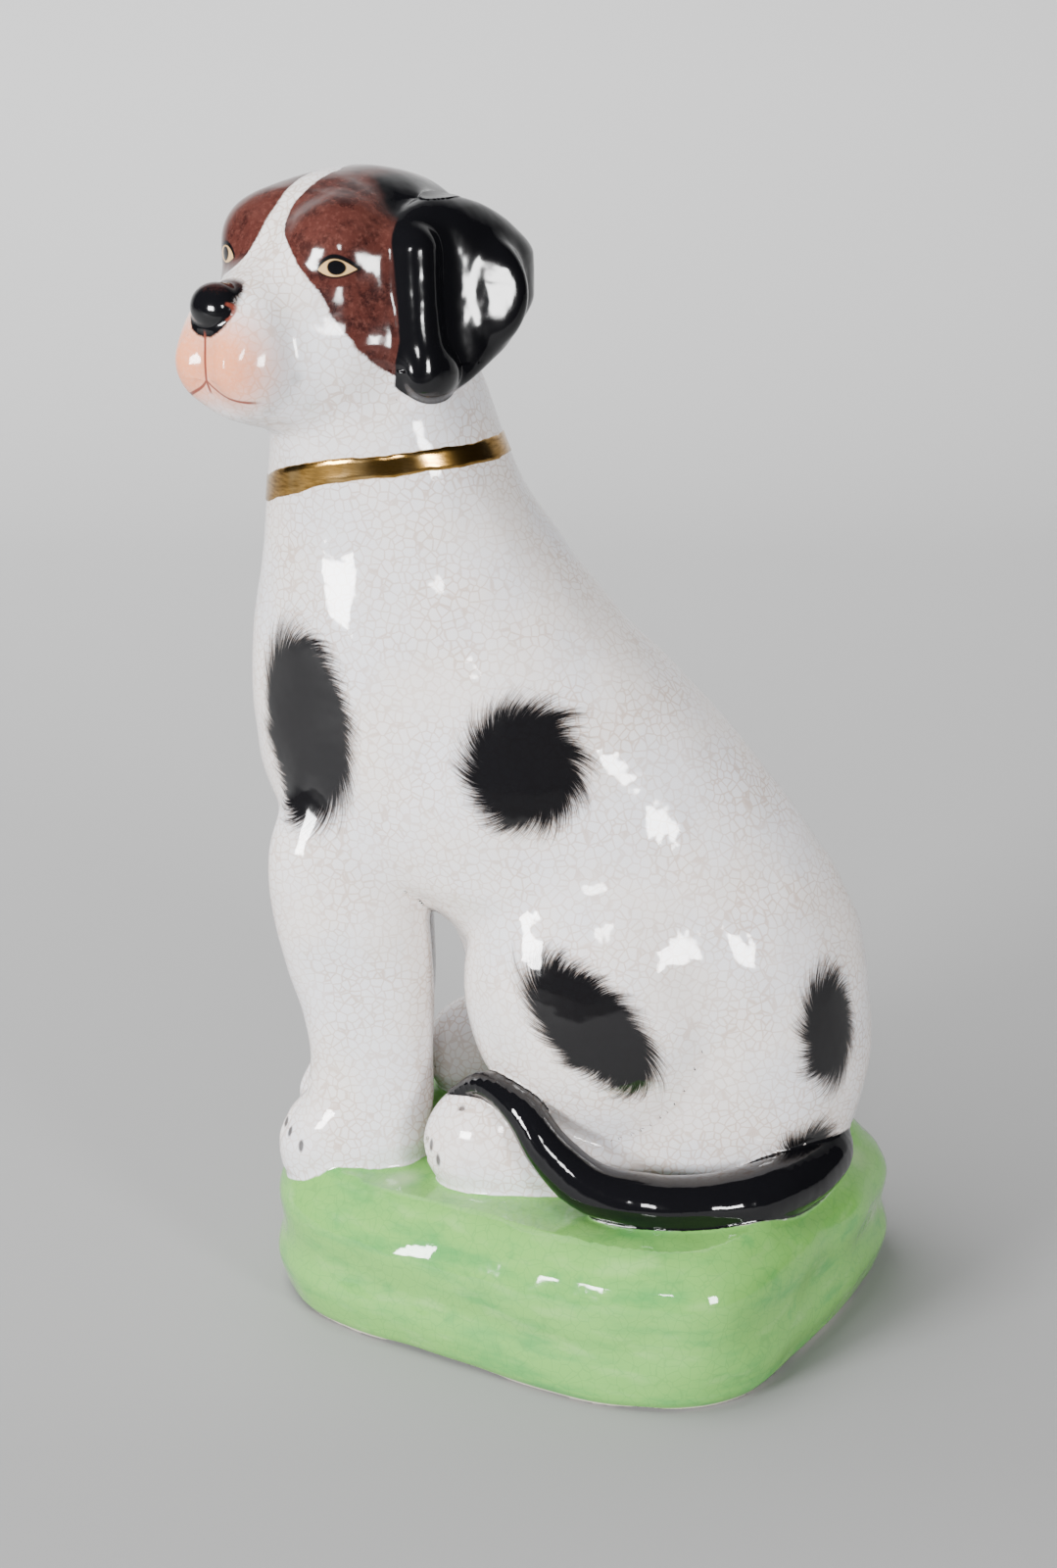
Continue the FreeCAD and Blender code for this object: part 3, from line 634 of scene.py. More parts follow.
def net(low, counts, step):
    """Dual vertices and, for each piece, its quads. outer marks vertices on the surface."""
    value, label = fill_grid(low, counts, step)
    cells = [count - 1 for count in counts]
    corners = [label[tuple(slice(at, at + size) for at, size in zip(c, cells))] for c in CORNERS]
    live = np.min(corners, axis=0) != np.max(corners, axis=0)
    cell = np.argwhere(live)
    number = np.full(cells, -1, np.int32)
    number[live] = np.arange(len(cell))
    values = np.stack([value[tuple((cell + c).T)] for c in CORNERS], 1).astype(float)
    labels = np.stack([label[tuple((cell + c).T)] for c in CORNERS], 1)
    sums, tally = np.zeros((2, len(cell), 3)), np.zeros((2, len(cell)))
    for a, b in EDGES:
        first, second = np.array(CORNERS[a], float), np.array(CORNERS[b], float)
        differs = labels[:, a] != labels[:, b]
        open_edge = differs & ((labels[:, a] == 0) | (labels[:, b] == 0))
        gap = values[:, a] - values[:, b]
        t = np.clip(values[:, a] / np.where(np.abs(gap) < 1e-9, 1e-9, gap), 0, 1)
        point = first + t[:, None] * (second - first)
        kinds = ((point, open_edge), ((first + second) / 2, differs & ~open_edge))
        for kind, (crossing, counted) in enumerate(kinds):
            sums[kind] += crossing * counted[:, None]
            tally[kind] += counted
    outer = tally[0] > 0
    on_skin, on_wall = sums / np.maximum(tally, 1)[:, :, None]
    points = low + (cell + np.where(outer[:, None], on_skin, on_wall)) * step
    quads = {}
    for axis in range(3):
        ahead = [slice(None)] * 3
        behind = [slice(None)] * 3
        ahead[axis], behind[axis] = slice(1, None), slice(None, -1)
        here, there = label[tuple(behind)], label[tuple(ahead)]
        edge = np.argwhere(here != there)
        one, two = [(1, 2), (2, 0), (0, 1)][axis]
        inside = (edge[:, one] > 0) & (edge[:, two] > 0)
        inside &= (edge[:, one] < cells[one]) & (edge[:, two] < cells[two])
        edge = edge[inside]
        ring = []
        for back_one, back_two in ((1, 1), (0, 1), (0, 0), (1, 0)):
            around = edge.copy()
            around[:, one] -= back_one
            around[:, two] -= back_two
            ring.append(number[tuple(around.T)])
        ring = np.stack(ring, 1)
        lower, upper = here[tuple(edge.T)], there[tuple(edge.T)]
        for index, name in enumerate(PIECES, start=1):
            quads.setdefault(name, []).extend([ring[lower == index], ring[upper == index][:, ::-1]])
    on_seam = np.abs(low[2] + (cell[:, 2] + 0.5) * step - SEAM_HEIGHT) < step * 0.25
    return points, outer, on_seam, {name: np.concatenate(parts) for name, parts in quads.items()}


FORM_MARGIN = 17.0
FORM_BOXES = [
    [np.array(corner) / MM + sign * FORM_MARGIN for corner, sign in zip(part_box(name), (-1, 1))]
    for name in PIECES
]


def near_forms(points):
    """For each form, the points that lie near its piece."""
    return [((points > low) & (points < high)).all(1) for low, high in FORM_BOXES]


SLOPE_STEP = 0.06
LONGEST_MOVE, LEAST_REACH = 0.8, 0.05
SETTLE_STEPS, FAIR_PASSES = 2, 3
SLICE = 60000


def slope_at(points, value):
    """The surface value's slope along each axis."""
    slope = np.empty_like(points)
    for axis in range(3):
        shifted = points.copy()
        shifted[:, axis] += SLOPE_STEP
        slope[:, axis] = (sampled(shifted)[0] - value) / SLOPE_STEP
    return slope


def settle(points, free):
    """One Newton step onto the surface. free scales the move along each axis."""
    value, rows = sampled(points)
    slope = slope_at(points, value)
    move = slope * free
    reach = np.maximum((move * slope).sum(1), LEAST_REACH)
    moved = points - np.clip(value / reach, -LONGEST_MOVE, LONGEST_MOVE)[:, None] * move
    return moved, slope / np.maximum(np.linalg.norm(slope, axis=1), 1e-9)[:, None], rows


def sampled(points):
    """Surface value and form distances at points, worked out in slices."""
    values, table = [], []
    for start in range(0, len(points), SLICE):
        part = points[start:start + SLICE]
        rows = fields(part, near_forms(part))
        values.append(surface(part, rows))
        table.append(rows)
    return np.concatenate(values), np.concatenate(table, axis=1)


def fair_walls(points, outer, quads):
    """Evens out the hidden walls between pieces, which no one sees."""
    pairs = np.concatenate([ring[:, [k, (k + 1) % 4]] for ring in quads.values() for k in range(4)])
    count = np.maximum(np.bincount(pairs[:, 0], minlength=len(points)), 1)
    for _ in range(FAIR_PASSES):
        mean = np.empty_like(points)
        for axis in range(3):
            mean[:, axis] = np.bincount(pairs[:, 0], points[pairs[:, 1], axis], len(points)) / count
        points = np.where(outer[:, None], points, (points + mean) / 2)
    return points


WALL_SINK_SHARE, LEAST_WALL_REACH = 0.5, 0.1


def sink_walls(points, outer, step):
    """Keeps the hidden walls under the skin, also where it is hollow."""
    chosen = np.flatnonzero(~outer)
    value = sampled(points[chosen])[0]
    sink = WALL_SINK_SHARE * step
    chosen, value = chosen[value > -sink], value[value > -sink]
    slope = slope_at(points[chosen], value)
    reach = np.maximum((slope * slope).sum(1), LEAST_WALL_REACH)
    points[chosen] -= ((value + sink) / reach)[:, None] * slope


# Distances to the forms are held up to this, in millimetres
PAINT_REACH = 9.0


def region(low, high, step):
    """Meshes a box of space. Nodes lie half a step either side of the luting seam."""
    low, high = np.array(low, float), np.array(high, float)
    low[2] = SEAM_HEIGHT - step / 2 - step * round((SEAM_HEIGHT - low[2]) / step)
    counts = [int(n) for n in np.ceil((high - low) / step) + 1]
    points, outer, on_seam, quads = net(low, counts, step)
    points = fair_walls(points, outer, quads)
    points[on_seam, 2] = SEAM_HEIGHT
    free = np.ones_like(points)
    free[on_seam, 2] = 0
    chosen = np.flatnonzero(outer)
    normals = np.zeros_like(points)
    distances = np.full((len(PIECES), len(points)), PAINT_REACH)
    place = points[chosen]
    for _ in range(SETTLE_STEPS):
        place, facing, rows = settle(place, free[chosen])
    points[chosen], normals[chosen] = place, facing
    sink_walls(points, outer, step)
    distances[:, chosen] = rows
    return points, normals, distances, quads


def paint_fields(distances):
    """Where the paint and the bare clay lie, in millimetres from their edges."""
    d = dict(zip(PIECES, distances))
    whites = [name for name in PIECES if name not in ("base_mound", "tail")]
    white = np.min([d[name] for name in whites], axis=0)
    everything = np.min(distances, axis=0)
    ears = np.minimum(d["ear_left"], d["ear_right"])
    fields_here = {
        "ground": np.minimum(white, d["tail"]) - d["base_mound"],
        "tail": d["tail"] - np.minimum(white, d["base_mound"]),
        "ear": ears - np.minimum(d["head"], d["torso"]),
        "crease": np.maximum(everything - whole(distances), 0),
        "depth": -d["base_mound"],
    }
    return {name: np.clip(field, -PAINT_REACH, PAINT_REACH) for name, field in fields_here.items()}


def placed(name, data):
    """A new object in the scene."""
    made = bpy.data.objects.new(name, data)
    bpy.context.scene.collection.objects.link(made)
    return made


def made_of(name, points, faces):
    """A smooth-shaded object of points and faces."""
    mesh = bpy.data.meshes.new(name)
    mesh.from_pydata(points, [], faces, shade_flat=False)
    return placed(name, mesh)


def make_piece(name, points, normals, fields_here, ring):
    used, index = np.unique(ring, return_inverse=True)
    piece = made_of(name + "_ware", points[used] * MM, index.reshape(ring.shape))
    for label, values in fields_here.items():
        layer = piece.data.attributes.new(label, "FLOAT", "POINT")
        layer.data.foreach_set("value", values[used].astype(np.float32))
    piece.data.normals_split_custom_set_from_vertices(normals[used].tolist())
    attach(piece, "root")
    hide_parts(name)
    return piece


BODY_STEP, HEAD_STEP = ((0.8, 0.5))
REGIONS = [
    ((-98, -90, -3), (86, 76, SEAM_HEIGHT + 3), BODY_STEP),
    ((-98, -90, SEAM_HEIGHT - 2), (0, 40, SEAM_HEIGHT + 68), HEAD_STEP),
]
pieces = {}
for low, high, step in REGIONS:
    points, normals, distances, quads = region(low, high, step)
    fields_here = paint_fields(distances)
    for name, ring in quads.items():
        if (name in HEAD_PIECES) == (step == HEAD_STEP):
            pieces[name] = make_piece(name, points, normals, fields_here, ring)


# Shader arithmetic
def feed(tree, slot, item):
    """Gives a node's input a number, a colour, another node's output or a Term."""
    item = getattr(item, "socket", item)
    if isinstance(item, bpy.types.NodeSocket):
        tree.links.new(item, slot)
    else:
        slot.default_value = item + (1.0,) if slot.type == "RGBA" else item


def added(tree, kind, inputs, **settings):
    """A new shader node. inputs go by label or number, once the settings are made."""
    node = tree.nodes.new("ShaderNode" + kind)
    for label, setting in settings.items():
        setattr(node, label, setting)
    for label, item in inputs.items():
        feed(tree, node.inputs[label], item)
    return node


def math_node(operation):
    """A method that passes its values through one math node."""
    return lambda self, *others: self.made(operation, *others)


class Term:
    """A shader's value, which takes the usual operators."""

    def __init__(self, tree, socket):
        self.tree, self.socket = tree, socket

    def made(self, operation, *others):
        node = added(self.tree, "Math", dict(enumerate((self,) + others)), operation=operation)
        return Term(self.tree, node.outputs[0])

    __add__ = __radd__ = math_node("ADD")
    __sub__ = math_node("SUBTRACT")
    __mul__ = __rmul__ = math_node("MULTIPLY")
    __truediv__ = math_node("DIVIDE")
    __abs__ = math_node("ABSOLUTE")
    power = math_node("POWER")
    least = math_node("MINIMUM")
    most = math_node("MAXIMUM")

    def __neg__(self):
        return self * -1.0

    def __rsub__(self, other):
        return -self + other

    def ramp(self, low, high, start=0.0, end=1.0, shape="SMOOTHSTEP"):
        """Runs from start at low to end at high, and stays level outside."""
        inputs = {"Value": self, "From Min": low, "From Max": high, "To Min": start, "To Max": end}
        return Term(self.tree, added(self.tree, "MapRange", inputs, interpolation_type=shape).outputs[0])

    def rise(self, low, high):
        """0 below low, 1 above high, smooth between. low over high falls instead."""
        return self.ramp(high, low, 1.0, 0.0) if low > high else self.ramp(low, high)

    def along(self, rows):
        """Looked up in a table of (value, result) rows, smoothly."""
        first, last = rows[0][0], rows[-1][0]
        low, high = min(row[1] for row in rows), max(row[1] for row in rows)
        span, rise = last - first, max(high - low, 1e-6)
        node = added(self.tree, "FloatCurve", {"Value": (self - first) / span})
        curve = node.mapping.curves[0]
        while len(curve.points) < len(rows):
            curve.points.new(0.5, 0.5)
        for point, (x, y) in zip(curve.points, rows):
            point.location = ((x - first) / span, (y - low) / rise)
        node.mapping.update()
        return Term(self.tree, node.outputs[0]) * rise + low


def hypot(a, b):
    return (a * a + b * b).power(0.5)


GLAZE_INDEX = 1.52


class Glaze:
    """One material: its node tree, its paint so far and the dog's coordinates in millimetres.

    u, v, w are forward, left and up in the body frame, a, b, c in the head frame.
    """

    def __init__(self, name, colour):
        self.colour = colour
        self.material = bpy.data.materials.new(name)
        self.material.use_nodes = True
        self.tree = self.material.node_tree
        self.shader = self.tree.nodes["Principled BSDF"]
        place = added(self.tree, "TexCoord", {}).outputs["Object"]
        parts = added(self.tree, "SeparateXYZ", {0: place}).outputs
        x, y, z = [Term(self.tree, part) * (1 / MM) for part in parts]
        self.row = (x, y, z)
        self.u, self.v = turned(x, y, 180 + BODY_YAW)
        self.w = z
        self.a, self.b, self.c = head_frame(self.u, self.v, self.w)
        self.millimetres = self.vector(x, y, z)

    def vector(self, *parts):
        return added(self.tree, "CombineXYZ", dict(enumerate(parts))).outputs[0]

    def layer(self, name):
        """A value that the mesh holds at each of its points."""
        return Term(self.tree, added(self.tree, "Attribute", {}, attribute_name=name).outputs["Fac"])

    def noise(self, size, detail=2.0, roughness=0.5, at=None):
        """Noise from 0 to 1 whose features are about size wide, in millimetres or in at's units."""
        at = self.millimetres if at is None else at
        inputs = {"Vector": at, "Scale": 1.0 / size, "Detail": detail, "Roughness": roughness}
        return Term(self.tree, added(self.tree, "TexNoise", inputs).outputs["Fac"])

    def cells(self, size, wander):
        """Distance to the nearest crack of a net of cells, as a share of a cell."""
        bend = added(self.tree, "TexNoise", {"Vector": self.millimetres, "Scale": 0.5 / size})
        inputs = {0: bend.outputs["Color"], 1: (wander,) * 3, 2: self.millimetres}
        bent = added(self.tree, "VectorMath", inputs, operation="MULTIPLY_ADD").outputs[0]
        inputs = {"Vector": bent, "Scale": 1.0 / size}
        node = added(self.tree, "TexVoronoi", inputs, feature="DISTANCE_TO_EDGE")
        return Term(self.tree, node.outputs["Distance"])

    def mix(self, amount, under, over):
        """over laid on under by an amount from 0 to 1. Colours are sockets or triples."""
        return added(self.tree, "Mix", {"Factor": amount, 6: under, 7: over}, data_type="RGBA").outputs[2]

    def lay(self, amount, paint):
        self.colour = self.mix(amount, self.colour, paint)

    def finish(self, roughness, height=None, metallic=0.0):
        inputs = {"Base Color": self.colour, "Roughness": roughness, "Metallic": metallic}
        inputs["IOR"] = GLAZE_INDEX
        if height is not None:
            bump = added(self.tree, "Bump", {"Distance": MM, "Height": height})
            inputs["Normal"] = bump.outputs[0]
        for label, item in inputs.items():
            feed(self.tree, self.shader.inputs[label], item)
        return self.material


# Colours, as the light that each reflects
WHITE = (0.800, 0.755, 0.735)
WHITE_COOL = (0.765, 0.760, 0.795)
CRAZING = (0.480, 0.330, 0.240)
BLACK = (0.004, 0.004, 0.005)
FRINGE = (0.090, 0.066, 0.050)
BROWN = (0.066, 0.020, 0.016)
BROWN_LIGHT = (0.170, 0.064, 0.050)
BROWN_DARK = (0.018, 0.006, 0.006)
PEACH = (0.820, 0.300, 0.150)
GREEN = (0.165, 0.405, 0.085)
GREEN_DEEP = (0.075, 0.300, 0.075)
GREEN_PALE = (0.260, 0.480, 0.155)
GREEN_DARKEST = (0.050, 0.200, 0.060)
IRIS = (0.600, 0.385, 0.170)
NOSTRIL = (0.200, 0.045, 0.030)
SMUDGE = (0.330, 0.330, 0.330)
CLAY = (0.700, 0.640, 0.550)
CLAY_DARK = (0.420, 0.340, 0.260)
GILT = (0.54, 0.31, 0.085)
GILT_DEEP = (0.24, 0.13, 0.03)
GILT_PALE = (0.78, 0.54, 0.25)
CRAZE_SIZE, BASE_CRAZE_SIZE = 2.4, 3.0


def white_ground(g):
    """The bare glaze: white with a faint warm and cool drift and a fine net of crazing."""
    g.lay(g.noise(26.0, 3.0).rise(0.38, 0.64), WHITE_COOL)
    strength = g.noise(17.0).rise(0.30, 0.68) * 0.32 + 0.28
    g.lay(g.cells(CRAZE_SIZE, 1.3).rise(0.12, 0.02) * strength, CRAZING)


def glaze_height(g):
    """Slow ripples of a thick glaze, in millimetres."""
    return g.noise(9.0) * 0.18 + g.noise(4.6, 1.0) * 0.10


# Spots: middle in the body frame, the way its surface runs level, half size level and upright,
# tilt in degrees and a number of its own
SPOTS = {
    "chest_near": ((70.5, 26.0, 163.0), (-0.86, 0.50), 14.5, 27.0, 4, 1.0),
    "ribs_near": ((13.0, 37.0, 157.5), (-1.0, 0.05), 15.0, 17.0, 16, 2.0),
    "thigh_near": ((-5.0, 49.0, 92.0), (-1.0, 0.0), 11.5, 22.5, 44, 3.0),
    "rump_near": ((-66.0, 26.0, 85.0), (-0.62, -0.78), 9.5, 16.5, 3, 4.0),
    "tail_root": ((-62.5, 28.0, 48.5), (-0.62, -0.78), 9.5, 10.0, 0, 5.0),
    "shoulder_far": ((58.0, -33.0, 172.0), (-0.95, -0.30), 13.0, 22.0, -12, 6.0),
    "ribs_far": ((17.0, -37.0, 150.0), (-1.0, 0.0), 15.0, 14.0, 20, 7.0),
    "thigh_far": ((-12.0, -48.0, 86.0), (-1.0, 0.0), 14.0, 19.0, -35, 8.0),
    "back": ((-52.0, -24.0, 118.0), (-0.75, 0.66), 11.0, 16.0, 10, 9.0),
}
FRINGE_LENGTH, FRINGE_LEAN = 5.0, 0.05
HAIRS, LOBES, LOBE_SIZE = 34, 2.2, 7.0


def spot(g, middle, level, half_level, half_upright, tilt, number):
    """How black a spot is, and its softer fringe: leaning hair strokes round a solid middle."""
    du, dv, dw = g.u - middle[0], g.v - middle[1], g.w - middle[2]
    depth = du * level[1] - dv * level[0]
    across, upright = turned(du * level[0] + dv * level[1], dw, tilt)
    out = (hypot(across / half_level, upright / half_upright) - 1.0) * ((half_level + half_upright) / 2)
    angle = upright.made("ARCTAN2", across) + out * FRINGE_LEAN
    cosine, sine = angle.made("COSINE"), angle.made("SINE")
    hairs = g.vector(cosine * HAIRS, sine * HAIRS, out * 0.13 + number * 9)
    strokes = g.noise(1.0, 4.0, 0.8, hairs)
    edge = g.noise(1.0, at=g.vector(cosine * LOBES, sine * LOBES, number * 5.0))
    inward = strokes.rise(0.28, 0.72) * FRINGE_LENGTH + (edge - 0.5) * LOBE_SIZE - out - 2.0
    nearby = abs(depth).rise(30, 22)
    return inward.rise(-0.8, 3.0) * nearby, inward.rise(-3.2, 1.6) * nearby


def paint_spots(g, names):
    for name in names:
        solid, soft = spot(g, *SPOTS[name])
        g.lay(soft * 0.66, FRINGE)
        g.lay(solid * 0.99, BLACK)


def paint_mound(g):
    """Green wash on the mound, thin and pale on its edges and darker in the creases where the forms join
    it.
    """
    x, y, z = g.row
    stretched = g.vector(x * 0.45, y * 0.45, z * 1.6)
    green = g.mix(g.noise(12.0, 4.0, 0.6, stretched).rise(0.46, 0.72) * 0.85, GREEN, GREEN_DEEP)
    green = g.mix(g.noise(7.0, 3.0, at=stretched).rise(0.52, 0.78) * 0.55, green, GREEN_PALE)
    green = g.mix(g.noise(10.0, 3.0, 0.6).rise(0.60, 0.74) * 0.55, green, GREEN_DEEP)
    # Darker green in the creases where the forms join
    green = g.mix(g.layer("crease").rise(0.25, 1.5) * 0.75, green, GREEN_DARKEST)
    green = g.mix(g.cells(BASE_CRAZE_SIZE, 1.6).rise(0.06, 0.012) * 0.22, green, GREEN_DARKEST)
    bare = g.layer("depth").rise(1.5, 3.0).most(z.rise(1.6, 0.7))
    green = g.mix(bare, green, CLAY)
    edge = g.layer("ground") + (g.noise(5.0) - 0.5) * 1.6
    g.lay(edge.rise(-0.4, 0.3), green)


def paint_tail(g):
    fuzz = g.noise(1.0, 3.0, 0.7, g.vector(g.u * 0.5, g.v * 0.5, g.w)) - 0.5
    g.lay((g.layer("tail") + fuzz * 0.9).rise(0.5, -0.1), BLACK)


# Claws: middle in the body frame, and radius
CLAW_STRETCH = 0.45
CLAWS = [
    ((78.0, 23.7, 48.2), 0.9), ((74.4, 27.4, 45.8), 0.9), ((80.0, 18.0, 48.2), 0.9),
    ((78.0, -23.7, 48.2), 0.9), ((74.4, -27.4, 45.8), 0.9), ((80.0, -18.0, 48.2), 0.9),
    ((37.9, 37.3, 52.6), 1.0), ((35.8, 39.8, 49.2), 1.0), ((38.0, 32.0, 53.0), 1.0),
    ((46.0, -37.3, 52.6), 1.0), ((44.0, -39.8, 49.2), 1.0), ((46.4, -32.0, 53.0), 1.0),
]


def paint_claws(g):
    for middle, radius in CLAWS:
        apart = hypot(hypot(g.u - middle[0], g.v - middle[1]), (g.w - middle[2]) * CLAW_STRETCH)
        g.lay(apart.rise(radius * 1.25, radius * 0.6) * 0.85, BLACK)


def body_ware(name, spots, claws=False):
    g = Glaze(name, WHITE)
    white_ground(g)
    paint_spots(g, spots)
    if claws:
        paint_claws(g)
    paint_mound(g)
    paint_tail(g)
    return g.finish(g.noise(12.0) * 0.05 + 0.045, glaze_height(g))


# Head paint, in the head frame. Where the brown starts beside the blaze, by height
BROWN_NEAR = [
    (-25.0, 36.0), (-18.5, 32.0), (-13.5, 28.0), (-8.1, 25.6), (-1.2, 21.1), (4.2, 17.9),
    (9.5, 12.8), (14.2, 8.2), (18.2, 2.9), (22.5, 1.2), (27.8, 2.4), (33.0, 1.6),
]
BROWN_FAR = [
    (-25.0, 36.0), (-18.5, 31.0), (-13.5, 28.0), (-8.1, 25.6), (-1.2, 21.1), (4.2, 17.0),
    (9.5, 7.0), (14.2, 5.0), (18.2, 4.2), (22.5, 3.8), (27.8, 4.2), (33.0, 7.5),
]
CROWN_DRIFT = 0.55
# The middles of the peach on the lips and of a grey smudge on the jaw
PEACH_MIDDLE, SMUDGE_MIDDLE = (49.0, 6.0, -12.5), (34.2, 16.3, -16.0)
# Where the black in front of the ear starts, by height
BLACK_FRONT = [(-26.0, 8.0), (-10.0, 10.5), (4.0, 12.5), (19.0, 8.5), (32.0, -3.0)]


def paint_head(g):
    a, b, c = g.a, g.b, g.c
    s = abs(b)
    stipple = g.noise(0.9, 3.0, 0.65) - 0.5
    slow = g.noise(4.5) - 0.5
    # the peach muzzle
    front, side, up = PEACH_MIDDLE
    from_lip = hypot(hypot((a - front) * 0.9, s - side), c - up)
    peach = from_lip.rise(17.0, 5.0) * 0.88 + from_lip.rise(9.0, 1.5) * 0.10
    g.lay(peach * (stipple * 0.5 + 1.0), PEACH)
    front, side, up = SMUDGE_MIDDLE
    smudge = hypot(hypot(a - front, b - side), c - up)
    g.lay(smudge.rise(2.6, 0.4) * 0.4, SMUDGE)
    # the brown patches with the blaze between them
    near, far = c.along(BROWN_NEAR), c.along(BROWN_FAR)
    drift = (6.0 - a).most(0.0) * CROWN_DRIFT * c.rise(22.0, 28.0)
    inside = (b - near + drift).most(-b - far - drift)
    patch = (inside + stipple * 0.9 + slow * 1.4).rise(-0.3, 0.5) * a.rise(-30.0, -24.0)
    brown = g.mix(g.noise(6.0, 5.0, 0.72).rise(0.44, 0.64) * 0.85, BROWN, BROWN_DARK)
    brown = g.mix(g.noise(1.3, 4.0, 0.7).rise(0.46, 0.74) * 0.42, brown, BROWN_LIGHT)
    brown = g.mix(g.noise(15.0).rise(0.46, 0.66) * c.rise(4.0, 18.0) * 0.12, brown, BROWN_LIGHT)
    g.lay(patch, brown)
    dark = (c.along(BLACK_FRONT) - a + slow * 3.0).rise(-4.0, 1.0) * s.rise(7.0, 13.0)
    g.lay(dark * patch, BLACK)
    g.lay((g.layer("ear") + slow * 0.8).rise(-0.4, -1.1), BLACK)


# Eyes: near and far, middle sideways and up, half length and half height
EYES = [(1, 20.6, 9.4, 3.8, 2.6), (-1, 15.8, 10.2, 4.6, 2.6)]
PUPIL_OFFSET = (0.3, 0.55)
PUPIL_RADIUS = 1.75


def paint_eyes(g):
    for side, middle, height, half_length, half_height in EYES:
        across, up = g.b * side - middle, g.c - height
        front = g.a.rise(11.0, 13.0) * (g.b * side).rise(0.5, 2.0)
        lean = up - across * 0.02
        bow = (across / half_length) * (across / half_length)
        upper = (1.0 - bow) * (1.1 * half_height) - lean
        lower = (1.0 - bow) * (0.68 * half_height) + lean
        opening = upper.least(lower)
        g.lay(opening.rise(-0.6, -0.1) * front * 0.75, BLACK)
        g.lay(opening.rise(0.0, 0.35) * front, IRIS)
        pupil = hypot(across - PUPIL_OFFSET[0], up - PUPIL_OFFSET[1])
        pupil = pupil.rise(PUPIL_RADIUS + 0.25, PUPIL_RADIUS - 0.15) * opening.rise(-0.1, 0.2)
        g.lay(pupil * front, BLACK)
        lid = abs(upper + 0.3).rise(0.8, 0.35) * lower.rise(-0.7, 0.2)
        g.lay(lid * front, BLACK)


# The black of the nose: height, half width and half height
NOSE_PAINT = (0.6, 7.4, 6.9)
# A nostril's middle sideways and up, and its radius
NOSTRIL_RING = (5.2, 0.2, 2.2)
STROKE = 0.34
MOUTH = [(0.0, -16.5), (2.0, -18.2), (5.0, -19.8), (8.0, -20.9), (11.5, -21.4), (16.0, -20.6)]


def paint_nose(g):
    a, b, c = g.a, g.b, g.c
    s = abs(b)
    height, half_width, half_height = NOSE_PAINT
    ring = hypot(b / half_width, (c - height) / half_height)
    stipple = g.noise(0.8, 3.0, 0.7) - 0.5
    front = a.rise(38.0, 40.5)
    nose = (1.0 - ring + stipple * 0.14).rise(-0.05, 0.06) * front
    g.lay(nose, BLACK)
    g.lay(nose * (c + stipple * 4.0).rise(4.5, 8.0) * 0.8, BROWN)
    side, up, radius = NOSTRIL_RING
    wing = abs(hypot(s - side, c - up) - radius)
    g.lay(wing.rise(0.5, 0.15) * front * (s - 5.8).rise(0.0, 0.6) * 0.8, NOSTRIL)
    # the line under the nose and the mouth's two curves
    line = s.rise(STROKE + 0.25, STROKE - 0.1) * c.rise(-20.5, -19.0) * c.rise(-4.0, -6.5)
    mouth = abs(c - s.along(MOUTH)).rise(STROKE + 0.22, STROKE - 0.12) * s.rise(12.5, 10.5)
    g.lay(line.most(mouth) * a.rise(30.0, 34.0) * 0.95, NOSTRIL)


def head_ware(name):
    g = Glaze(name, WHITE)
    white_ground(g)
    paint_head(g)
    paint_eyes(g)
    paint_nose(g)
    return g.finish(g.noise(12.0) * 0.07 + 0.07, glaze_height(g))


def clay_ware(name):
    g = Glaze(name, CLAY)
    g.lay(g.noise(14.0, 5.0, 0.6).rise(0.35, 0.65), CLAY_DARK)
    return g.finish(0.85, g.noise(0.6, 3.0) * 0.05)


NECK_MIDDLE = (52.0, 0.0)


def gilding(name):
    """Brushed gold: streaks along the band, worn thin at places."""
    g = Glaze(name, GILT)
    turn = g.v.made("ARCTAN2", g.u - NECK_MIDDLE[0])
    streak = g.noise(1.0, 3.0, 0.6, g.vector(turn * 9.0, g.w * 1.4, 0.0))
    g.lay(streak.rise(0.35, 0.75), GILT_DEEP)
    g.lay(g.noise(9.0).rise(0.55, 0.75) * 0.5, GILT_PALE)
    return g.finish(streak * 0.16 + 0.10, streak * 0.02, metallic=1.0)


# The spots that reach each piece
WARE = {
    "torso": ("chest_near", "ribs_near", "rump_near", "tail_root", "shoulder_far", "ribs_far", "back"),
    "foreleg_left": ("chest_near",),
    "foreleg_right": ("shoulder_far",),
    "haunch_left": ("thigh_near",),
    "haunch_right": ("thigh_far",),
}
head_material = head_ware("painted_head_glaze")
plain_material = body_ware("white_glaze_paws", (), claws=True)
for name, piece in pieces.items():
    if name in HEAD_PIECES:
        material = head_material
    elif name in WARE:
        material = body_ware("white_glaze_" + name, WARE[name], claws="foreleg" in name)
    else:
        material = plain_material
    piece.data.materials.append(material)


# Gilt band: a thin closed strip on the neck with brushed, uneven edges. The heights of its edges
# are given by the turn in degrees round the neck from its front.
COLLAR_TURN = 720
COLLAR_LIFT, COLLAR_EDGE_LIFT, COLLAR_SINK = 0.28, 0.02, 0.25
COLLAR_TOP = [
    (0, 224.3), (16, 224.6), (35, 228.4), (62, 231.6), (90, 233.8), (118, 235.2),
    (150, 235.6), (180, 235.0), (240, 233.5), (300, 227.5), (360, 224.3),
]
COLLAR_BOTTOM = [
    (0, 217.2), (20, 218.4), (35, 220.9), (62, 225.4), (90, 227.9), (118, 229.8),
    (150, 230.6), (180, 230.0), (240, 227.6), (300, 221.2), (360, 217.2),
]
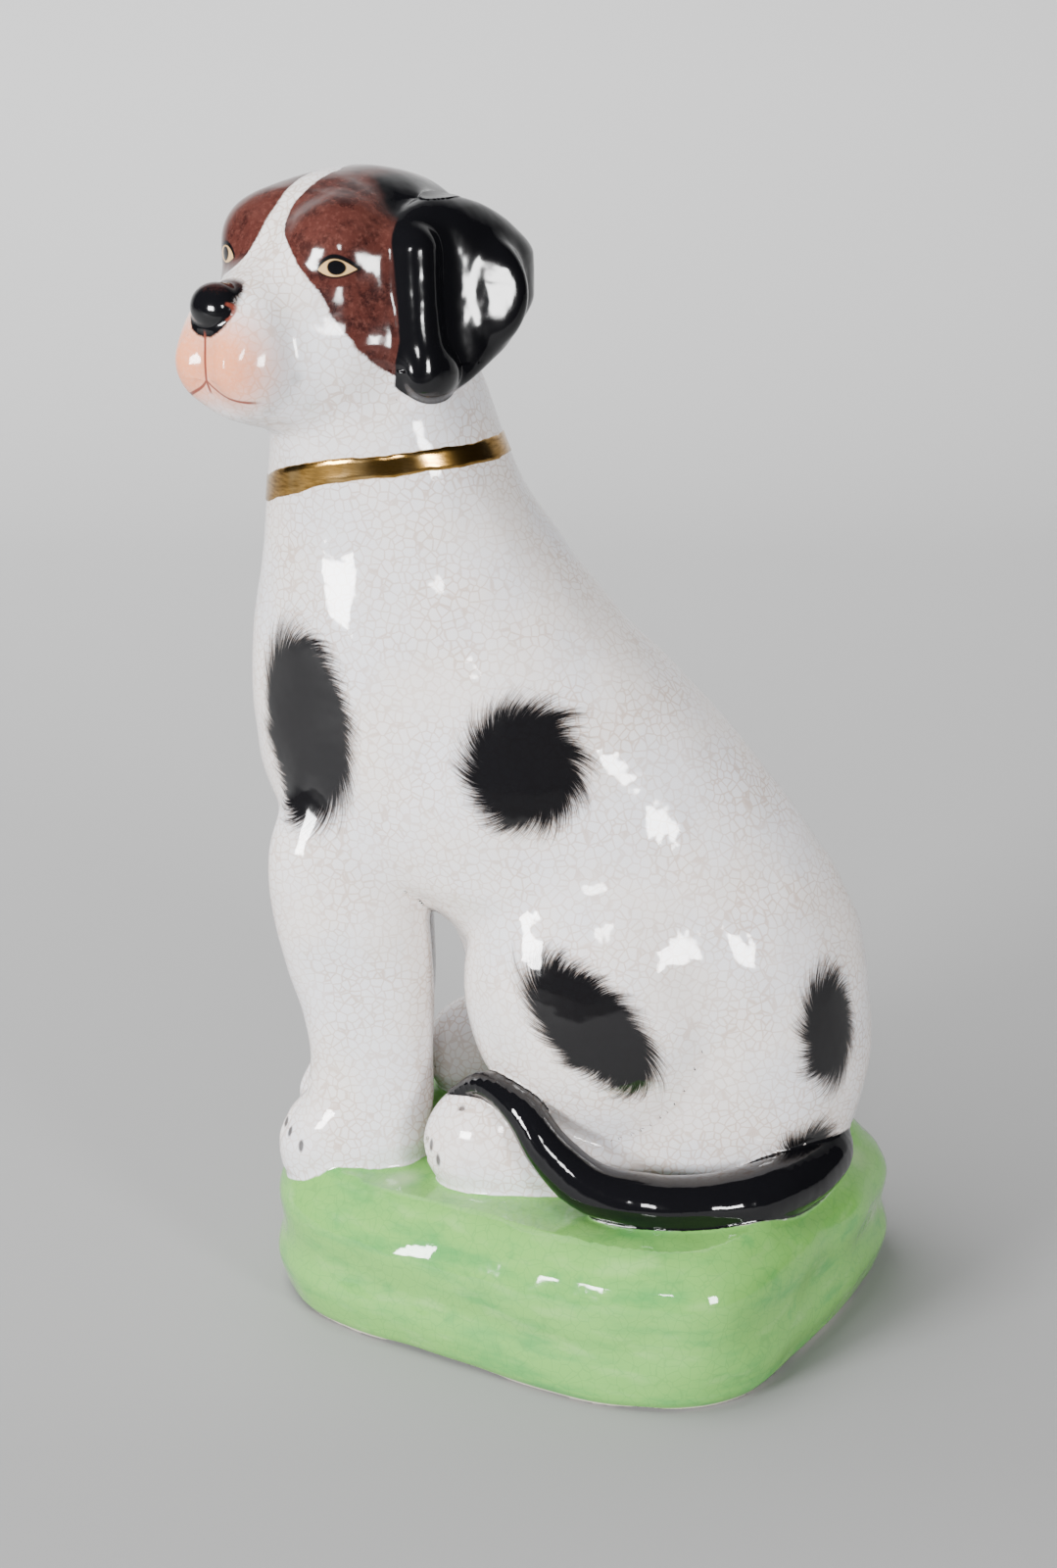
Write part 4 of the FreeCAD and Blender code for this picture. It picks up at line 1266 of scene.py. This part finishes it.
# Across the outer face from edge to edge, then back across the inner face
COLLAR_PROFILE = [
    (0, -COLLAR_SINK), (0, COLLAR_EDGE_LIFT),
    *((share, COLLAR_LIFT) for share in (0.06, 0.25, 0.50, 0.75, 0.94)),
    (1, COLLAR_EDGE_LIFT), (1, -COLLAR_SINK), (0.50, -COLLAR_SINK),
]
# Waves round the neck and their heights
EDGE_WAVES = ((3, 0.20), (7, 0.16), (13, 0.10), (29, 0.06), (53, 0.03))
FIRST_REACH, NECK_STEPS, NECK_STEP_SHARE = 30.0, 14, 0.8


def row_place(u, v, w):
    x, y = turned(u, v, -(180 + BODY_YAW))
    return np.stack([x, y, w], -1)


def on_neck(angle, height):
    """The radius at which a level ray from the neck's middle leaves the form."""
    reach = np.full(angle.shape, FIRST_REACH)
    for _ in range(NECK_STEPS):
        u = NECK_MIDDLE[0] + reach * np.cos(angle)
        v = NECK_MIDDLE[1] + reach * np.sin(angle)
        reach = reach - NECK_STEP_SHARE * sampled(row_place(u, v, height))[0]
    return reach


def edge_wobble(angle, number):
    return sum(size * np.sin(angle * turns + number * turns * 1.7) for turns, size in EDGE_WAVES)


def collar_strip():
    angle = np.linspace(0, 2 * math.pi, COLLAR_TURN, endpoint=False)
    degrees = np.degrees(angle)
    top = np.interp(degrees, *zip(*COLLAR_TOP)) + edge_wobble(angle, 1)
    bottom = np.interp(degrees, *zip(*COLLAR_BOTTOM)) + edge_wobble(angle, 2)
    rings = []
    for share, lift in COLLAR_PROFILE:
        height = bottom + share * (top - bottom)
        reach = on_neck(angle, height) + lift
        u, v = reach * np.cos(angle) + NECK_MIDDLE[0], reach * np.sin(angle) + NECK_MIDDLE[1]
        rings.append(row_place(u, v, height))
    points = np.stack(rings, 1).reshape(-1, 3) * MM
    count = len(COLLAR_PROFILE)
    corners = ((0, 0), (1, 0), (1, 1), (0, 1))
    faces = [
        [(i + on) % COLLAR_TURN * count + (k + up) % count for on, up in corners]
        for i in range(COLLAR_TURN) for k in range(count)
    ]
    piece = made_of("collar_gilding", points, faces)
    piece.data.materials.append(gilding("gilding"))
    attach(piece, "root")
    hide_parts("collar_band")


collar_strip()
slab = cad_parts["base_floor"]
slab.data.materials.clear()
slab.data.materials.append(clay_ware("bare_clay"))


# Table and backdrop in one sweep of paper, in metres: where it starts, where it bends and how
# widely, its top and half its width
SWEEP_START, SWEEP_BEND, SWEEP_RADIUS, SWEEP_TOP, SWEEP_HALF_WIDTH = -1.6, 0.9, 0.6, 3.2, 3.0
SWEEP_AWAY, SWEEP_ASIDE = Vector((-0.509, 0.861, 0.0)), Vector((0.861, 0.509, 0.0))
SWEEP_STEPS = 12
# Painted light and shade on the paper along the way from the camera: from, to, and how pale at both
PAPER_PAINTED_FALLOFF = (-0.1, 1.45, 0.285, 0.84)
# Painted shade: the paper's near edge goes nearly black, for the dark room beyond the table
PAPER_PAINTED_DARK_EDGE = (-0.44, -0.36, 0.06, 1.0)
PAPER_RISE_SHARE = 0.25
PLAIN_INDEX = 1.5


def paper():
    g = Glaze("sweep_paper_painted_shade", WHITE)
    x, y, z = g.row
    along = (x * SWEEP_AWAY.x + y * SWEEP_AWAY.y + z * PAPER_RISE_SHARE) * MM
    # Painted light and shade: paler away from the camera and upward, nearly black at the near edge
    g.colour = along.ramp(*PAPER_PAINTED_FALLOFF, "LINEAR") * along.ramp(*PAPER_PAINTED_DARK_EDGE)
    material = g.finish(0.9)
    g.shader.inputs["IOR"].default_value = PLAIN_INDEX
    g.shader.inputs["Specular IOR Level"].default_value = 0.2
    return material


def sweep():
    profile = [(SWEEP_START, 0.0), (SWEEP_BEND, 0.0)]
    for step in range(1, SWEEP_STEPS + 1):
        angle = math.radians(90 * step / SWEEP_STEPS)
        distance = SWEEP_BEND + SWEEP_RADIUS * math.sin(angle)
        profile.append((distance, SWEEP_RADIUS * (1 - math.cos(angle))))
    profile.append((SWEEP_BEND + SWEEP_RADIUS, SWEEP_TOP))
    points = [
        SWEEP_AWAY * distance + SWEEP_ASIDE * side + Vector((0, 0, height))
        for distance, height in profile for side in (-SWEEP_HALF_WIDTH, SWEEP_HALF_WIDTH)
    ]
    faces = [(i, i + 1, i + 3, i + 2) for i in range(0, len(points) - 2, 2)]
    piece = made_of("sweep", points, faces)
    piece.data.materials.append(paper())


sweep()


# Light in a dark room: softboxes at both sides of the camera, a smaller one over it and a wide one
# high up. Name, azimuth and height above the horizon in degrees, distance, width, height, power
SOFTBOXES = [
    ("softbox_left", -107, 8, 1.25, 0.36, 0.28, 29.0),
    ("softbox_right", -23, 6, 1.25, 0.24, 0.26, 14.0),
    ("softbox_over", -62, 21, 1.45, 0.17, 0.24, 6.5),
    ("top_light", -150, 68, 1.8, 1.5, 1.2, 52.0),
]
LIGHT_TARGET = Vector((0.0, -0.02, 0.15))
ROOM_LIGHT = (0.025, 0.025, 0.028, 1)


def aim(thing, place, target):
    """Puts a light or a camera at a place and turns it to a target."""
    thing.location = place
    thing.rotation_euler = (target - place).to_track_quat("-Z", "Y").to_euler()


def softbox(name, azimuth, rise, distance, width, tall, power):
    data = bpy.data.lights.new(name, "AREA")
    data.shape = "RECTANGLE"
    data.size, data.size_y = width, tall
    data.energy = power
    light = placed(name, data)
    azimuth, rise = math.radians(azimuth), math.radians(rise)
    level = math.cos(rise)
    toward = Vector((math.cos(azimuth) * level, math.sin(azimuth) * level, math.sin(rise)))
    aim(light, LIGHT_TARGET + toward * distance, LIGHT_TARGET)
    light.visible_glossy = name != "top_light"


for row in SOFTBOXES:
    softbox(*row)

world = bpy.data.worlds.new("room")
world.use_nodes = True
world.node_tree.nodes["Background"].inputs["Color"].default_value = ROOM_LIGHT
bpy.context.scene.world = world


# Camera: a 60 mm lens, a little above the dog
CAMERA_LENS = 60
CAMERA_PLACE, CAMERA_TARGET = Vector((322.77, -576.09, 353.60)) * MM, Vector((9.79, -46.86, 156.20)) * MM
NEAREST, FARTHEST = 0.05, 20
camera_data = bpy.data.cameras.new("camera")
camera_data.lens = CAMERA_LENS
camera_data.clip_start, camera_data.clip_end = NEAREST, FARTHEST
camera = placed("camera", camera_data)
aim(camera, CAMERA_PLACE, CAMERA_TARGET)
bpy.context.scene.camera = camera
